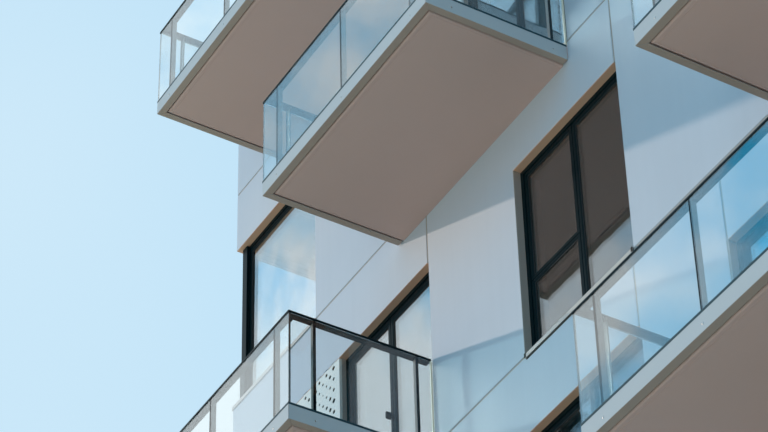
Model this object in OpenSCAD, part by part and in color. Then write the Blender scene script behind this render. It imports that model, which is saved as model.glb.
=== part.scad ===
// Apartment block of white precast wall panels, with floor-high windows and glass balconies
// that change place from storey to storey. Millimetres, +Z up, front wall facing -Y.

/* [Block] */
// Length of the long walls, corner to corner
block_w = 17400; // [16600:10:20000]
// Length of the short walls, corner to corner
block_d = 12600; // [11000:10:16000]
// Number of storeys
storeys = 9; // [3:1:12]
// Height from one floor to the next
storey_h = 3000; // [2800:10:3400]
// Thickness of the floors, the roof and the ground slab
slab_t = 250; // [200:5:300]

/* [Walls] */
// Thickness of the outer wall panels
panel_t = 120; // [90:5:160]
// Thickness of the inner wall behind the panels
core_t = 180; // [140:5:240]
// Width of the open joints between the panels
joint_w = 20; // [10:1:30]
// How far the base stands back from the panels' face
plinth_set = 40; // [20:5:80]
// Height of the roof's edge wall above the roof
parapet_h = 700; // [400:10:1100]

/* [Coping] */
// Thickness of the metal cap on the roof's edge wall
coping_t = 5; // [3:1:8]
// How far the cap's edges turn down
coping_drop = 70; // [40:5:100]
// Gap between the wall's faces and the cap's edges
coping_gap = 15; // [5:1:30]

/* [Openings] */
// Height of the windows and doors above the floor
head_h = 2170; // [2000:10:2350]
// Width of the window openings
window_w = 1685; // [1500:5:1800]
// Width of the balcony door openings
door_w = 1720; // [1600:5:1800]
// Width of the corner windows on each of their two walls
corner_w = 1750; // [1500:5:2000]
// Right side of the first door in a first-pattern storey, from the left corner
a_door_left = 3925; // [3800:5:4200]
// Right side of the window in a first-pattern storey, from the left corner
a_window = 7120; // [6400:5:7600]
// Right side of the second door in a first-pattern storey, from the right corner
a_door_right = 5010; // [4600:5:5200]
// Right side of the first door in a second-pattern storey, from the left corner
b_door_left = 6440; // [6000:5:6700]
// Right side of the window in a second-pattern storey, from the right corner
b_window = 7100; // [6900:5:7300]
// Right side of the second door in a second-pattern storey, from the right corner
b_door_right = 2560; // [2000:5:2800]
// Right side of the first door in a third-pattern storey, from the left corner
c_door_left = 4040; // [3800:5:4200]
// Right side of the first window in a third-pattern storey, from the left corner
c_window_left = 7120; // [6400:5:7400]
// Left side of the second door in a third-pattern storey, from the right corner. That door is turned
// round: its joint is on its left and its cover on its right.
c_door_right = 9040; // [8700:5:9200]
// How far the balcony of that door passes the door's left side
turned_lap = 180; // [0:5:400]
// Right side of the second window in a third-pattern storey, from the right corner
c_window_right = 1800; // [1200:5:2200]

/* [Window frames] */
// How far the frames stand back from the wall's face
frame_set = 80; // [60:5:100]
// Depth of the frames
frame_d = 70; // [60:5:90]
// Face width of the outer frame members of the windows
frame_f = 105; // [60:5:130]
// Face width of the outer frame members of the doors
door_f = 130; // [80:5:150]
// Face width of a corner window's frame members beside the corner post
corner_f = 45; // [30:5:110]
// How far the corner posts stand back from the two walls' faces
corner_set = 50; // [30:5:100]
// Face width of the upright between two leaves
mullion_f = 108; // [80:1:160]
// Face width of the bar across the left leaf
transom_f = 95; // [70:5:120]
// Height of that bar's centre above the floor
transom_z = 840; // [700:10:1000]
// Thickness of the glass units
pane_t = 28; // [20:1:36]
// Thickness of the metal sills
sill_t = 4; // [2:1:6]
// How far the sills stand out from the wall
sill_out = 10; // [6:1:50]
// How far their front edges turn down
sill_drop = 40; // [20:1:60]

/* [Perforated covers] */
// Width of the perforated cover beside each balcony door
cover_w = 886; // [700:5:1000]
// Depth of the cover's folded edges, and of its recess
cover_d = 30; // [20:1:40]
// Thickness of its sheet
cover_t = 4; // [2:1:6]
// Gap round the cover in its recess
cover_gap = 5; // [3:1:10]

/* [Balconies] */
// Length of a balcony along the wall
balcony_w = 3040; // [2900:10:3200]
// How far a balcony stands out from the wall
balcony_out = 1535; // [1400:5:1700]
// The same for the second balcony of a third-pattern storey
balcony_out_small = 1475; // [1400:5:1700]
// How far the top of a balcony lies below its storey's floor
balcony_step = 88; // [60:1:120]
// Height of the metal edge trim
trim_h = 162; // [130:1:190]
// Thickness of the trim's sheet
trim_t = 5; // [3:1:8]
// Width of the trim's turned-in lower edge along the sides
trim_side_lip = 76; // [60:1:110]
// Width of the trim's turned-in lower edge along the front
trim_front_lip = 78; // [50:1:100]
// Shadow gap between that edge and the slab's lower part
shadow_gap = 12; // [6:1:20]
// How far the slab's lower part hangs below the trim
slab_drop = 3; // [0:1:60]
// Depth of the recess above the trim's lower edge
recess_d = 30; // [10:1:80]
// Gap between the trim, glass and rail and the wall
wall_gap = 10; // [5:1:20]
// Gap at the mitred corners
mitre_gap = 2; // [1:0.5:4]

/* [Balustrades] */
// Height of the balustrade above its storey's floor
rail_z = 985; // [900:5:1100]
// Height of the top rail
rail_h = 24; // [16:1:50]
// Width of the top rail
rail_w = 100; // [60:1:120]
// Thickness of the glass
glass_t = 17; // [12:1:21]
// How far the glass stands back from the trim's face
glass_set = 6; // [3:1:10]
// Width of the gap between two sheets of glass
glass_gap = 8; // [4:1:12]
// Height of the strip that the glass stands on
shoe_h = 25; // [15:1:35]
// Width of that strip
shoe_w = 36; // [30:1:50]
// How far the posts reach in from the rail's outer edge
post_reach = 82; // [60:1:100]
// Thickness of a post's web
post_t = 12; // [8:1:16]
// Width of a post's flange, which is against the glass
post_f = 30; // [20:1:40]
// Thickness of that flange
post_f_t = 5; // [3:1:8]
// How far the posts beside a corner stand from that corner
post_corner = 280; // [200:5:400]
// How far the last post of each side stands from the wall
post_wall = 160; // [100:5:250]

/* [Hidden] */

// A cut reaches this far past the faces that it goes through
over = 1;
wall_t = panel_t + core_t;
trim_z = -balcony_step - trim_h;
roof_z = floor_z(storeys);

// The kinds of opening
DOOR = 0;
WINDOW = 1;
CORNER = 2;

// Height of a storey's floor above the ground
function floor_z(s) = slab_t + s * storey_h;

// One opening as [left side, right side, kind, right edge of its joint]. A door also holds the left ends
// of its cover and of its balcony, and how far that balcony stands out.
function door(right) =
    [right - door_w, right, DOOR, right, right - door_w - cover_w, right - balcony_w, balcony_out];
function turned_door(left) =
    [left, left + door_w, DOOR, left, left + door_w, left - turned_lap, balcony_out_small];
function window(right) = [right - window_w, right, WINDOW, right];
function corner_at(left) = [left, left + corner_w, CORNER, left + corner_w];

// The two ends of the recess that a door's cover lies in
function recess(o) =
    o[4] < o[0] ? [o[4] - cover_gap, o[0] + over] : [o[1] - over, o[4] + cover_w + cover_gap];

// The openings of a storey in a long wall: three patterns take turns, from the lowest storey up
function long_openings(s) =
    s % 3 == 0 ? [
        door(a_door_left), window(a_window),
        door(block_w - a_door_right), corner_at(block_w - corner_w)
    ]
    : s % 3 == 1 ? [
        corner_at(0), door(b_door_left),
        window(block_w - b_window), door(block_w - b_door_right)
    ]
    : [
        door(c_door_left), window(c_window_left),
        turned_door(block_w - c_door_right), window(block_w - c_window_right)
    ];

// The openings of a storey in a short wall: one in the middle, and those at the corners of the long walls' patterns
function middle_window() = window((block_d + window_w) / 2);
function short_openings(s) =
    s % 3 == 0 ? [corner_at(0), middle_window()]
    : s % 3 == 1 ? [middle_window(), corner_at(block_d - corner_w)]
    : [middle_window()];

// The doors among a storey's openings
function doors(openings) = [for (o = openings) if (o[2] == DOOR) o];

// Places a wall, drawn with its left end at 0, its face on y = 0 and its thickness towards +Y
module at_front() {
    translate([-block_w / 2, -block_d / 2, 0]) children();
}
module at_back() {
    rotate([0, 0, 180]) at_front() children();
}
module at_left() {
    rotate([0, 0, -90]) translate([-block_d / 2, -block_w / 2, 0]) children();
}
module at_right() {
    rotate([0, 0, 90]) translate([-block_d / 2, -block_w / 2, 0]) children();
}

// A box from its lowest corner to its highest
module box(low, high) {
    translate(low) cube(high - low);
}

// One wall panel over a length, with the windows and the cover's recess cut out of it
module panel(left, right, low, high, openings) {
    difference() {
        box([left, 0, low], [right, panel_t, high]);
        for (o = openings) {
            box([o[0], -over, low - over], [o[1], panel_t + over, low + head_h]);
            if (o[2] == DOOR)
                box([recess(o)[0], -over, low - over], [recess(o)[1], cover_d, low + head_h]);
        }
    }
}

// A row of panels: each ends in a joint in line with one side of an opening
module panel_row(length, trim, low, high, openings, cut) {
    ends = [for (o = openings) if (o[1] < length) o[3]];
    count = len(ends);
    for (i = [0:count]) {
        left = max(i == 0 ? 0 : ends[i - 1], trim);
        right = min(i == count ? length : ends[i] - joint_w, length - trim);
        if (right > left) panel(left, right, low, high, cut ? openings : []);
    }
}

// All the panels of a wall, one storey after another
module wall_panels(length, trim, openings) {
    for (s = [0:storeys - 1])
        panel_row(length, trim, floor_z(s), floor_z(s + 1) - joint_w, openings[s], true);
}

// The inner wall's piers: they stand on the floors, between the openings
module wall_piers(length, trim, openings) {
    for (s = [0:storeys - 1]) {
        row = openings[s];
        count = len(row);
        for (i = [0:count]) {
            left = max(i == 0 ? 0 : row[i - 1][1], trim);
            right = min(i == count ? length : row[i][0], length - trim);
            if (right > left)
                box([left, panel_t, floor_z(s)], [right, wall_t, floor_z(s) + head_h]);
        }
    }
}

// The inner wall's lintels: each runs the wall's length, from the openings' heads to the floor above
module wall_lintels(length, trim) {
    for (s = [0:storeys - 1])
        box([trim, panel_t, floor_z(s) + head_h], [length - trim, wall_t, floor_z(s + 1) - slab_t]);
}

// The panes of a frame, as [left, right, low, high] from its lower left corner
function lights(o) =
    let (
        w = o[1] - o[0],
        side = o[2] == DOOR ? door_f : frame_f,
        low = sill_t + side,
        high = head_h - side,
        middle = w / 2,
        half = mullion_f / 2
    )
    o[2] == CORNER ? [[o[3], w - o[4], low, high]]
    : o[2] == DOOR ? [
        [side, middle - half, low, high],
        [middle + half, w - side, low, high]
    ]
    : [
        [side, middle - half, low, transom_z - transom_f / 2],
        [side, middle - half, transom_z + transom_f / 2, high],
        [middle + half, w - side, low, high]
    ];

// The part of an opening that its frame fills. In a corner opening the post stands at the corner itself,
// and the frame also holds the face widths of its left and right members.
function framed(o, length) =
    o[2] != CORNER ? o
    : o[0] == 0 ? [frame_set + frame_d, o[1], CORNER, corner_f, frame_f]
    : [o[0], length - frame_set - frame_d, CORNER, frame_f, corner_f];

// The window and door frames of a wall
module wall_frames(length, openings) {
    for (s = [0:storeys - 1]) for (o = openings[s]) {
        f = framed(o, length);
        translate([f[0], frame_set, floor_z(s)]) difference() {
            box([0, 0, sill_t], [f[1] - f[0], frame_d, head_h]);
            for (l = lights(f)) box([l[0], -over, l[2]], [l[1], frame_d + over, l[3]]);
        }
    }
}

// The glass units of a wall, in the middle of their frames' depth
module wall_panes(length, openings) {
    for (s = [0:storeys - 1]) for (o = openings[s]) {
        f = framed(o, length);
        translate([f[0], frame_set + (frame_d - pane_t) / 2, floor_z(s)])
            for (l = lights(f)) box([l[0], 0, l[2]], [l[1], pane_t, l[3]]);
    }
}

// The posts of a wall's corner windows, each at the corner itself
module wall_corner_posts(length, openings) {
    for (s = [0:storeys - 1]) for (o = openings[s]) if (o[2] == CORNER) {
        width = frame_set + frame_d - corner_set;
        left = o[0] == 0 ? corner_set : length - corner_set - width;
        translate([left, corner_set, floor_z(s)]) box([0, 0, sill_t], [width, width, head_h]);
    }
}

// A strip along a sill from its front edge inwards, over a length from 0. At a wall's corner its end
// reaches past the wall and is mitred, to meet the other wall's sill.
module sill_strip(length, width, corner) {
    tip = corner ? mitre_gap - sill_out : 0;
    polygon([
        [tip, -sill_out], [length, -sill_out],
        [length, width - sill_out], [corner ? tip + width : 0, width - sill_out]
    ]);
}

// The metal sill of an opening: a plate with its front edge turned down
module sill(length, corner) {
    linear_extrude(sill_t) sill_strip(length, sill_out + frame_set + frame_d, corner);
    translate([0, 0, -sill_drop]) linear_extrude(sill_drop + over) sill_strip(length, sill_t, corner);
}

// The sills of a wall's windows and doors
module wall_sills(length, openings) {
    for (s = [0:storeys - 1]) for (o = openings[s]) translate([0, 0, floor_z(s)]) {
        if (o[2] == CORNER && o[0] > 0)
            translate([length, 0, 0]) mirror([1, 0, 0]) sill(o[1] - o[0], true);
        else
            translate([o[0], 0, 0]) sill(o[1] - o[0], o[2] == CORNER);
    }
}

// A perforated cover: a shallow tray with its face flush with the wall
module cover() {
    difference() {
        box([0, 0, 0], [cover_w, cover_d, head_h - 2 * cover_gap]);
        box([cover_t, cover_t, cover_t], [cover_w - cover_t, cover_d + over, head_h - 2 * cover_gap - cover_t]);
    }
}

// The covers beside a wall's doors
module wall_covers() {
    for (s = [0:storeys - 1]) for (o = doors(long_openings(s)))
        translate([o[4], 0, floor_z(s) + cover_gap]) cover();
}

// Places what is drawn once for a balcony at every balcony of a long wall. The pieces read $out, which
// is how far their own balcony stands out from the wall.
module each_balcony() {
    for (s = [1:storeys - 1]) for (o = doors(long_openings(s)))
        let ($out = o[6]) translate([o[5], 0, floor_z(s)]) children();
}

// A balcony's slab: its lower part is narrower, and leaves a recess over the trim's lower edge
module balcony_slab() {
    side = trim_side_lip + shadow_gap;
    front = trim_front_lip + shadow_gap;
    box([trim_t, trim_t - $out, trim_z + recess_d], [balcony_w - trim_t, 0, -balcony_step]);
    box([side, front - $out, trim_z - slab_drop], [balcony_w - side, 0, trim_z + recess_d + over]);
}

// A strip with mitred ends along the front edge, from the face inwards
module front_strip(side_w, front_w) {
    polygon([
        [mitre_gap, -$out], [balcony_w - mitre_gap, -$out],
        [balcony_w - side_w - mitre_gap, front_w - $out], [side_w + mitre_gap, front_w - $out]
    ]);
}

// The same along the left edge
module side_strip(side_w, front_w) {
    polygon([
        [0, mitre_gap - $out], [side_w, front_w + mitre_gap - $out],
        [side_w, -wall_gap], [0, -wall_gap]
    ]);
}

// What is drawn for the left side, on both sides
module both_sides() {
    children();
    translate([balcony_w, 0, 0]) mirror([1, 0, 0]) children();
}

// The metal trim: three folded sheets, mitred at the corners
module balcony_trim() {
    translate([0, 0, trim_z]) {
        linear_extrude(trim_t) front_strip(trim_side_lip, trim_front_lip);
        linear_extrude(trim_h) front_strip(trim_t, trim_t);
        both_sides() {
            linear_extrude(trim_t) side_strip(trim_side_lip, trim_front_lip);
            linear_extrude(trim_h) side_strip(trim_t, trim_t);
        }
    }
}

// The strip that the glass stands on
module glass_shoe() {
    translate([0, 0, -balcony_step]) linear_extrude(shoe_h) {
        front_strip(shoe_w, shoe_w);
        both_sides() side_strip(shoe_w, shoe_w);
    }
}

// The top rail, on the glass and the posts
module top_rail() {
    translate([0, 0, rail_z - rail_h]) linear_extrude(rail_h) {
        front_strip(rail_w, rail_w);
        both_sides() side_strip(rail_w, rail_w);
    }
}

// The sheets of glass: two in front and one on each side
module balcony_glass() {
    low = shoe_h - balcony_step;
    high = rail_z - rail_h;
    inner = glass_set + glass_t;
    middle = balcony_w / 2;
    for (x = [glass_set, middle + glass_gap / 2])
        box([x, glass_set - $out, low], [x + middle - glass_gap / 2 - glass_set, inner - $out, high]);
    both_sides()
        box([glass_set, inner + mitre_gap - $out, low], [inner, -wall_gap, high]);
}

// A post: a T whose flange is against the glass, which lies towards -Y
module post() {
    inner = glass_set + glass_t;
    low = -balcony_step + shoe_h;
    translate([0, 0, low]) linear_extrude(rail_z - rail_h - low) {
        translate([-post_f / 2, inner]) square([post_f, post_f_t]);
        translate([-post_t / 2, inner]) square([post_t, post_reach - inner]);
    }
    box([-post_t / 2, shoe_w, -balcony_step], [post_t / 2, post_reach, low + over]);
}

// The posts: beside each corner, behind the front glass's gap and near the wall
module balcony_posts() {
    for (x = [post_corner, balcony_w / 2, balcony_w - post_corner])
        translate([x, -$out, 0]) post();
    both_sides() for (y = [post_corner - $out, -post_wall])
        translate([0, y, 0]) rotate([0, 0, -90]) post();
}

module plinth() {
    color("dimgray") translate([-block_w / 2, -block_d / 2, 0]) difference() {
        box([plinth_set, plinth_set, 0], [block_w - plinth_set, block_d - plinth_set, slab_t - joint_w]);
        box([panel_t, panel_t, -over], [block_w - panel_t, block_d - panel_t, slab_t]);
    }
}

// A slab inside the panels, with its top at a height
module slab(top) {
    at_front() box([panel_t, panel_t, top - slab_t], [block_w - panel_t, block_d - panel_t, top]);
}

module ground_slab() {
    color("darkgray") slab(floor_z(0));
}

module floor_slabs() {
    color("darkgray") for (s = [1:storeys - 1]) slab(floor_z(s));
}

module roof_slab() {
    color("gray") slab(roof_z);
}

LONG = [for (s = [0:storeys - 1]) long_openings(s)];
SHORT = [for (s = [0:storeys - 1]) short_openings(s)];
SHORT_TRIM = panel_t + joint_w;

module front_panels() {
    color("whitesmoke") at_front() wall_panels(block_w, 0, LONG);
}

module back_panels() {
    color("whitesmoke") at_back() wall_panels(block_w, 0, LONG);
}

module left_panels() {
    color("whitesmoke") at_left() wall_panels(block_d, SHORT_TRIM, SHORT);
}

module right_panels() {
    color("whitesmoke") at_right() wall_panels(block_d, SHORT_TRIM, SHORT);
}

module front_piers() {
    color("lightgray") at_front() wall_piers(block_w, panel_t, LONG);
}

module back_piers() {
    color("lightgray") at_back() wall_piers(block_w, panel_t, LONG);
}

module left_piers() {
    color("lightgray") at_left() wall_piers(block_d, wall_t, SHORT);
}

module right_piers() {
    color("lightgray") at_right() wall_piers(block_d, wall_t, SHORT);
}

module long_wall_lintels() {
    color("lightgray") {
        at_front() wall_lintels(block_w, panel_t);
        at_back() wall_lintels(block_w, panel_t);
    }
}

module short_wall_lintels() {
    color("lightgray") {
        at_left() wall_lintels(block_d, wall_t);
        at_right() wall_lintels(block_d, wall_t);
    }
}

module front_frames() {
    color("darkslategray") at_front() wall_frames(block_w, LONG);
}

module back_frames() {
    color("darkslategray") at_back() wall_frames(block_w, LONG);
}

module left_frames() {
    color("darkslategray") at_left() wall_frames(block_d, SHORT);
}

module right_frames() {
    color("darkslategray") at_right() wall_frames(block_d, SHORT);
}

module corner_posts() {
    color("darkslategray") {
        at_front() wall_corner_posts(block_w, LONG);
        at_back() wall_corner_posts(block_w, LONG);
    }
}

module front_panes() {
    color("lightblue") at_front() wall_panes(block_w, LONG);
}

module back_panes() {
    color("lightblue") at_back() wall_panes(block_w, LONG);
}

module left_panes() {
    color("lightblue") at_left() wall_panes(block_d, SHORT);
}

module right_panes() {
    color("lightblue") at_right() wall_panes(block_d, SHORT);
}

module window_sills() {
    color("silver") {
        at_front() wall_sills(block_w, LONG);
        at_back() wall_sills(block_w, LONG);
        at_left() wall_sills(block_d, SHORT);
        at_right() wall_sills(block_d, SHORT);
    }
}

module perforated_covers() {
    color("white") {
        at_front() wall_covers();
        at_back() wall_covers();
    }
}

// The edge wall's panels, with the joints of the storey below
module parapet_row(length, trim, openings) {
    panel_row(length, trim, roof_z, roof_z + parapet_h, openings, false);
}

module parapet_panels() {
    color("whitesmoke") {
        at_front() parapet_row(block_w, 0, LONG[storeys - 1]);
        at_back() parapet_row(block_w, 0, LONG[storeys - 1]);
        at_left() parapet_row(block_d, SHORT_TRIM, SHORT[storeys - 1]);
        at_right() parapet_row(block_d, SHORT_TRIM, SHORT[storeys - 1]);
    }
}

module parapet_core() {
    color("lightgray") at_front() difference() {
        box([panel_t, panel_t, roof_z], [block_w - panel_t, block_d - panel_t, roof_z + parapet_h]);
        box([wall_t, wall_t, roof_z - over], [block_w - wall_t, block_d - wall_t, roof_z + parapet_h + over]);
    }
}

module coping() {
    outer = coping_gap + coping_t;
    top = roof_z + parapet_h;
    color("silver") at_front() difference() {
        box([-outer, -outer, top - coping_drop], [block_w + outer, block_d + outer, top + coping_t]);
        difference() {
            box([-coping_gap, -coping_gap, top - coping_drop - over],
                [block_w + coping_gap, block_d + coping_gap, top]);
            box([wall_t + outer - coping_t, wall_t + outer - coping_t, top - coping_drop - 2 * over],
                [block_w - wall_t - coping_gap, block_d - wall_t - coping_gap, top + over]);
        }
        box([wall_t + outer, wall_t + outer, top - coping_drop - over],
            [block_w - wall_t - outer, block_d - wall_t - outer, top + coping_t + over]);
    }
}

module front_balcony_slabs() {
    color("rosybrown") at_front() each_balcony() balcony_slab();
}

module front_balcony_trims() {
    color("lightsteelblue") at_front() each_balcony() balcony_trim();
}

module front_glass_shoes() {
    color("black") at_front() each_balcony() glass_shoe();
}

module front_balcony_glass() {
    color("paleturquoise") at_front() each_balcony() balcony_glass();
}

module front_balcony_posts() {
    color("lightslategray") at_front() each_balcony() balcony_posts();
}

module front_top_rails() {
    color("black") at_front() each_balcony() top_rail();
}

module back_balcony_slabs() {
    color("rosybrown") at_back() each_balcony() balcony_slab();
}

module back_balcony_trims() {
    color("lightsteelblue") at_back() each_balcony() balcony_trim();
}

module back_glass_shoes() {
    color("black") at_back() each_balcony() glass_shoe();
}

module back_balcony_glass() {
    color("paleturquoise") at_back() each_balcony() balcony_glass();
}

module back_balcony_posts() {
    color("lightslategray") at_back() each_balcony() balcony_posts();
}

module back_top_rails() {
    color("black") at_back() each_balcony() top_rail();
}

plinth();
ground_slab();
floor_slabs();
roof_slab();
front_panels();
back_panels();
left_panels();
right_panels();
front_piers();
back_piers();
left_piers();
right_piers();
long_wall_lintels();
short_wall_lintels();
front_frames();
back_frames();
left_frames();
right_frames();
corner_posts();
front_panes();
back_panes();
left_panes();
right_panes();
window_sills();
perforated_covers();
parapet_panels();
parapet_core();
coping();
front_balcony_slabs();
front_balcony_trims();
front_glass_shoes();
front_balcony_glass();
front_balcony_posts();
front_top_rails();
back_balcony_slabs();
back_balcony_trims();
back_glass_shoes();
back_balcony_glass();
back_balcony_posts();
back_top_rails();
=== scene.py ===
"""Looks, light and camera of an apartment block of white precast panels with glass balconies.

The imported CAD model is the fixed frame. Pieces that need more shape than its solids are worked out here as
whole numpy arrays, in metres and in the same frame: +Z up, the photographed long wall facing -Y.
"""

import logging
import math
from dataclasses import dataclass, replace
from enum import Enum
from itertools import product
from typing import Callable, ClassVar, Sequence

import bmesh
import bpy
import numpy as np
from mathutils import Matrix


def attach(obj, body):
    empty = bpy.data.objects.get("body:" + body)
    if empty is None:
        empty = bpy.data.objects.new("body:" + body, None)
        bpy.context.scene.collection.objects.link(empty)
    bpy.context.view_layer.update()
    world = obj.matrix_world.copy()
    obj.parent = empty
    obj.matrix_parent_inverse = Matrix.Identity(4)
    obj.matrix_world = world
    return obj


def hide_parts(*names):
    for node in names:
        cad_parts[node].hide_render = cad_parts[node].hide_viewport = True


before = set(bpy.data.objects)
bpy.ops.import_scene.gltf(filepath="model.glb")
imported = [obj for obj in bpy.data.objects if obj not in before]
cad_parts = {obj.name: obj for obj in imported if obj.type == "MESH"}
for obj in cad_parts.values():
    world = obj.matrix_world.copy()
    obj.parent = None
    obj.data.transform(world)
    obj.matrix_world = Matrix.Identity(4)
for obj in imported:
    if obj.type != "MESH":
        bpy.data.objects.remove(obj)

LOG = logging.getLogger("apartment_block")
Array = np.ndarray
Colour = tuple[float, float, float]
Pair = tuple[float, float]
Socket = bpy.types.NodeSocket
# A part is its points, and its faces as arrays of point numbers with one row for each face
Part = tuple[Array, list[Array]]
# The way round a unit square
SQUARE = ((0, 0), (1, 0), (1, 1), (0, 1))
# Signs that move the left, low, right and high side of a rectangle inwards
INWARD = np.array([1, 1, -1, -1])
# Less than any real gap, in metres
SLACK = 0.001
# The cosine that parts level faces from upright ones
LEVEL = 0.5


# Layout of the block


class Kind(Enum):
    """What an opening in a wall is."""

    DOOR = "door"
    WINDOW = "window"
    CORNER = "corner"


@dataclass(frozen=True)
class Opening:
    """One opening of a wall: its sides from the wall's left end, and the right edge of its joint.

    A door also holds the left ends of its cover and of its balcony, and how far that balcony stands out.
    """

    left: float
    right: float
    kind: Kind
    joint: float
    cover: float = 0.0
    balcony: float = 0.0
    out: float = 0.0

    def turned(self) -> bool:
        """Whether its joint is on its left, as that of a door turned round is."""
        return self.joint == self.left


@dataclass(frozen=True)
class Block:
    """The block's main sizes in metres and the places of its openings."""

    width: float = 17.4
    depth: float = 12.6
    storeys: int = 9
    storey: float = 3.0
    slab: float = 0.25
    joint: float = 0.02
    panel: float = 0.12
    wall: float = 0.30
    head: float = 2.17
    parapet: float = 0.70
    window: float = 1.685
    door: float = 1.72
    corner: float = 1.75
    cover: float = 0.886
    cover_gap: float = 0.005
    balcony: float = 3.04
    turned_lap: float = 0.18
    out: float = 1.535
    out_small: float = 1.475

    def floor(self, storey: int) -> float:
        """Height of a storey's floor above the ground."""
        return self.slab + storey * self.storey

    def roof(self) -> float:
        """Height of the roof's edge above the ground."""
        return self.floor(self.storeys)

    def door_at(self, right: float) -> Opening:
        """A balcony door, from the place of its right side."""
        left = right - self.door
        return Opening(left, right, Kind.DOOR, right, left - self.cover, right - self.balcony, self.out)

    def turned_door_at(self, left: float) -> Opening:
        """A balcony door turned round, from the place of its left side."""
        right = left + self.door
        return Opening(left, right, Kind.DOOR, left, right, left - self.turned_lap, self.out_small)

    def window_at(self, right: float) -> Opening:
        """A window, from the place of its right side."""
        return Opening(right - self.window, right, Kind.WINDOW, right)

    def corner_at(self, left: float) -> Opening:
        """A corner window, from the place of its left side."""
        return Opening(left, left + self.corner, Kind.CORNER, left + self.corner)

    def recess(self, door: Opening) -> Pair:
        """Left and right end of the recess that a door's cover lies in.

        Args:
            door: the door that the cover stands beside.

        Returns:
            Both ends along the wall.
        """
        if door.turned():
            return door.right, door.cover + self.cover + self.cover_gap
        return door.cover - self.cover_gap, door.left

    def long_row(self, storey: int) -> list[Opening]:
        """The openings of a storey in a long wall: three patterns take turns.

        Args:
            storey: the storey's number, from 0 at the ground.

        Returns:
            The openings from left to right.
        """
        w, door, window = self.width, self.door_at, self.window_at
        rows = (
            [door(3.925), window(7.12), door(w - 5.01), self.corner_at(w - self.corner)],
            [self.corner_at(0.0), door(6.44), window(w - 7.10), door(w - 2.56)],
            [door(4.04), window(7.12), self.turned_door_at(w - 9.04), window(w - 1.80)],
        )
        return rows[storey % len(rows)]

    def short_row(self, storey: int) -> list[Opening]:
        """The openings of a storey in a short wall.

        Args:
            storey: the storey's number, from 0 at the ground.

        Returns:
            The openings from left to right.
        """
        middle = self.window_at((self.depth + self.window) / 2)
        rows = [self.corner_at(0.0), middle], [middle, self.corner_at(self.depth - self.corner)], [middle]
        return rows[storey % len(rows)]


BLOCK = Block()


def turned(points: Array, degrees: float) -> Array:
    """Points turned about the upright axis."""
    c, s = math.cos(math.radians(degrees)), math.sin(math.radians(degrees))
    return points @ np.array([[c, s, 0], [-s, c, 0], [0, 0, 1]])


@dataclass(frozen=True)
class Wall:
    """One outer wall, drawn with its left end at 0, its face on y = 0 and its thickness towards +Y."""

    name: str
    turn: float
    length: float
    reach: float

    def place(self, points: Array) -> Array:
        """Carries points from the wall's own frame to the row frame.

        The wall's middle goes to the origin, its face out to half the block's other size, and the whole is
        turned about the upright axis.

        Args:
            points: an array whose last axis holds x, y and z in the wall's frame.

        Returns:
            The same points in the row frame.
        """
        return turned(points - np.array([self.length / 2, self.reach / 2, 0]), self.turn)

    def rows(self) -> list[list[Opening]]:
        """The openings of each storey, from the lowest up."""
        row = BLOCK.long_row if self.length == BLOCK.width else BLOCK.short_row
        return [row(s) for s in range(BLOCK.storeys)]

    def openings(self, *kinds: Kind) -> list[tuple[float, Opening]]:
        """Every opening of the given kinds, with its floor's height."""
        return [(BLOCK.floor(s), o) for s, row in enumerate(self.rows()) for o in row if o.kind in kinds]

    def balconies(self) -> list[tuple[float, float, float]]:
        """Left end, floor height and depth of each of the wall's balconies."""
        return [(o.balcony, z, o.out) for z, o in self.openings(Kind.DOOR) if z > BLOCK.slab]


WALLS = (
    Wall("front", 0.0, BLOCK.width, BLOCK.depth),
    Wall("back", 180.0, BLOCK.width, BLOCK.depth),
    Wall("left", -90.0, BLOCK.depth, BLOCK.width),
    Wall("right", 90.0, BLOCK.depth, BLOCK.width),
)
LONG_WALLS = WALLS[:2]


# Surfaces as whole arrays


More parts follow.
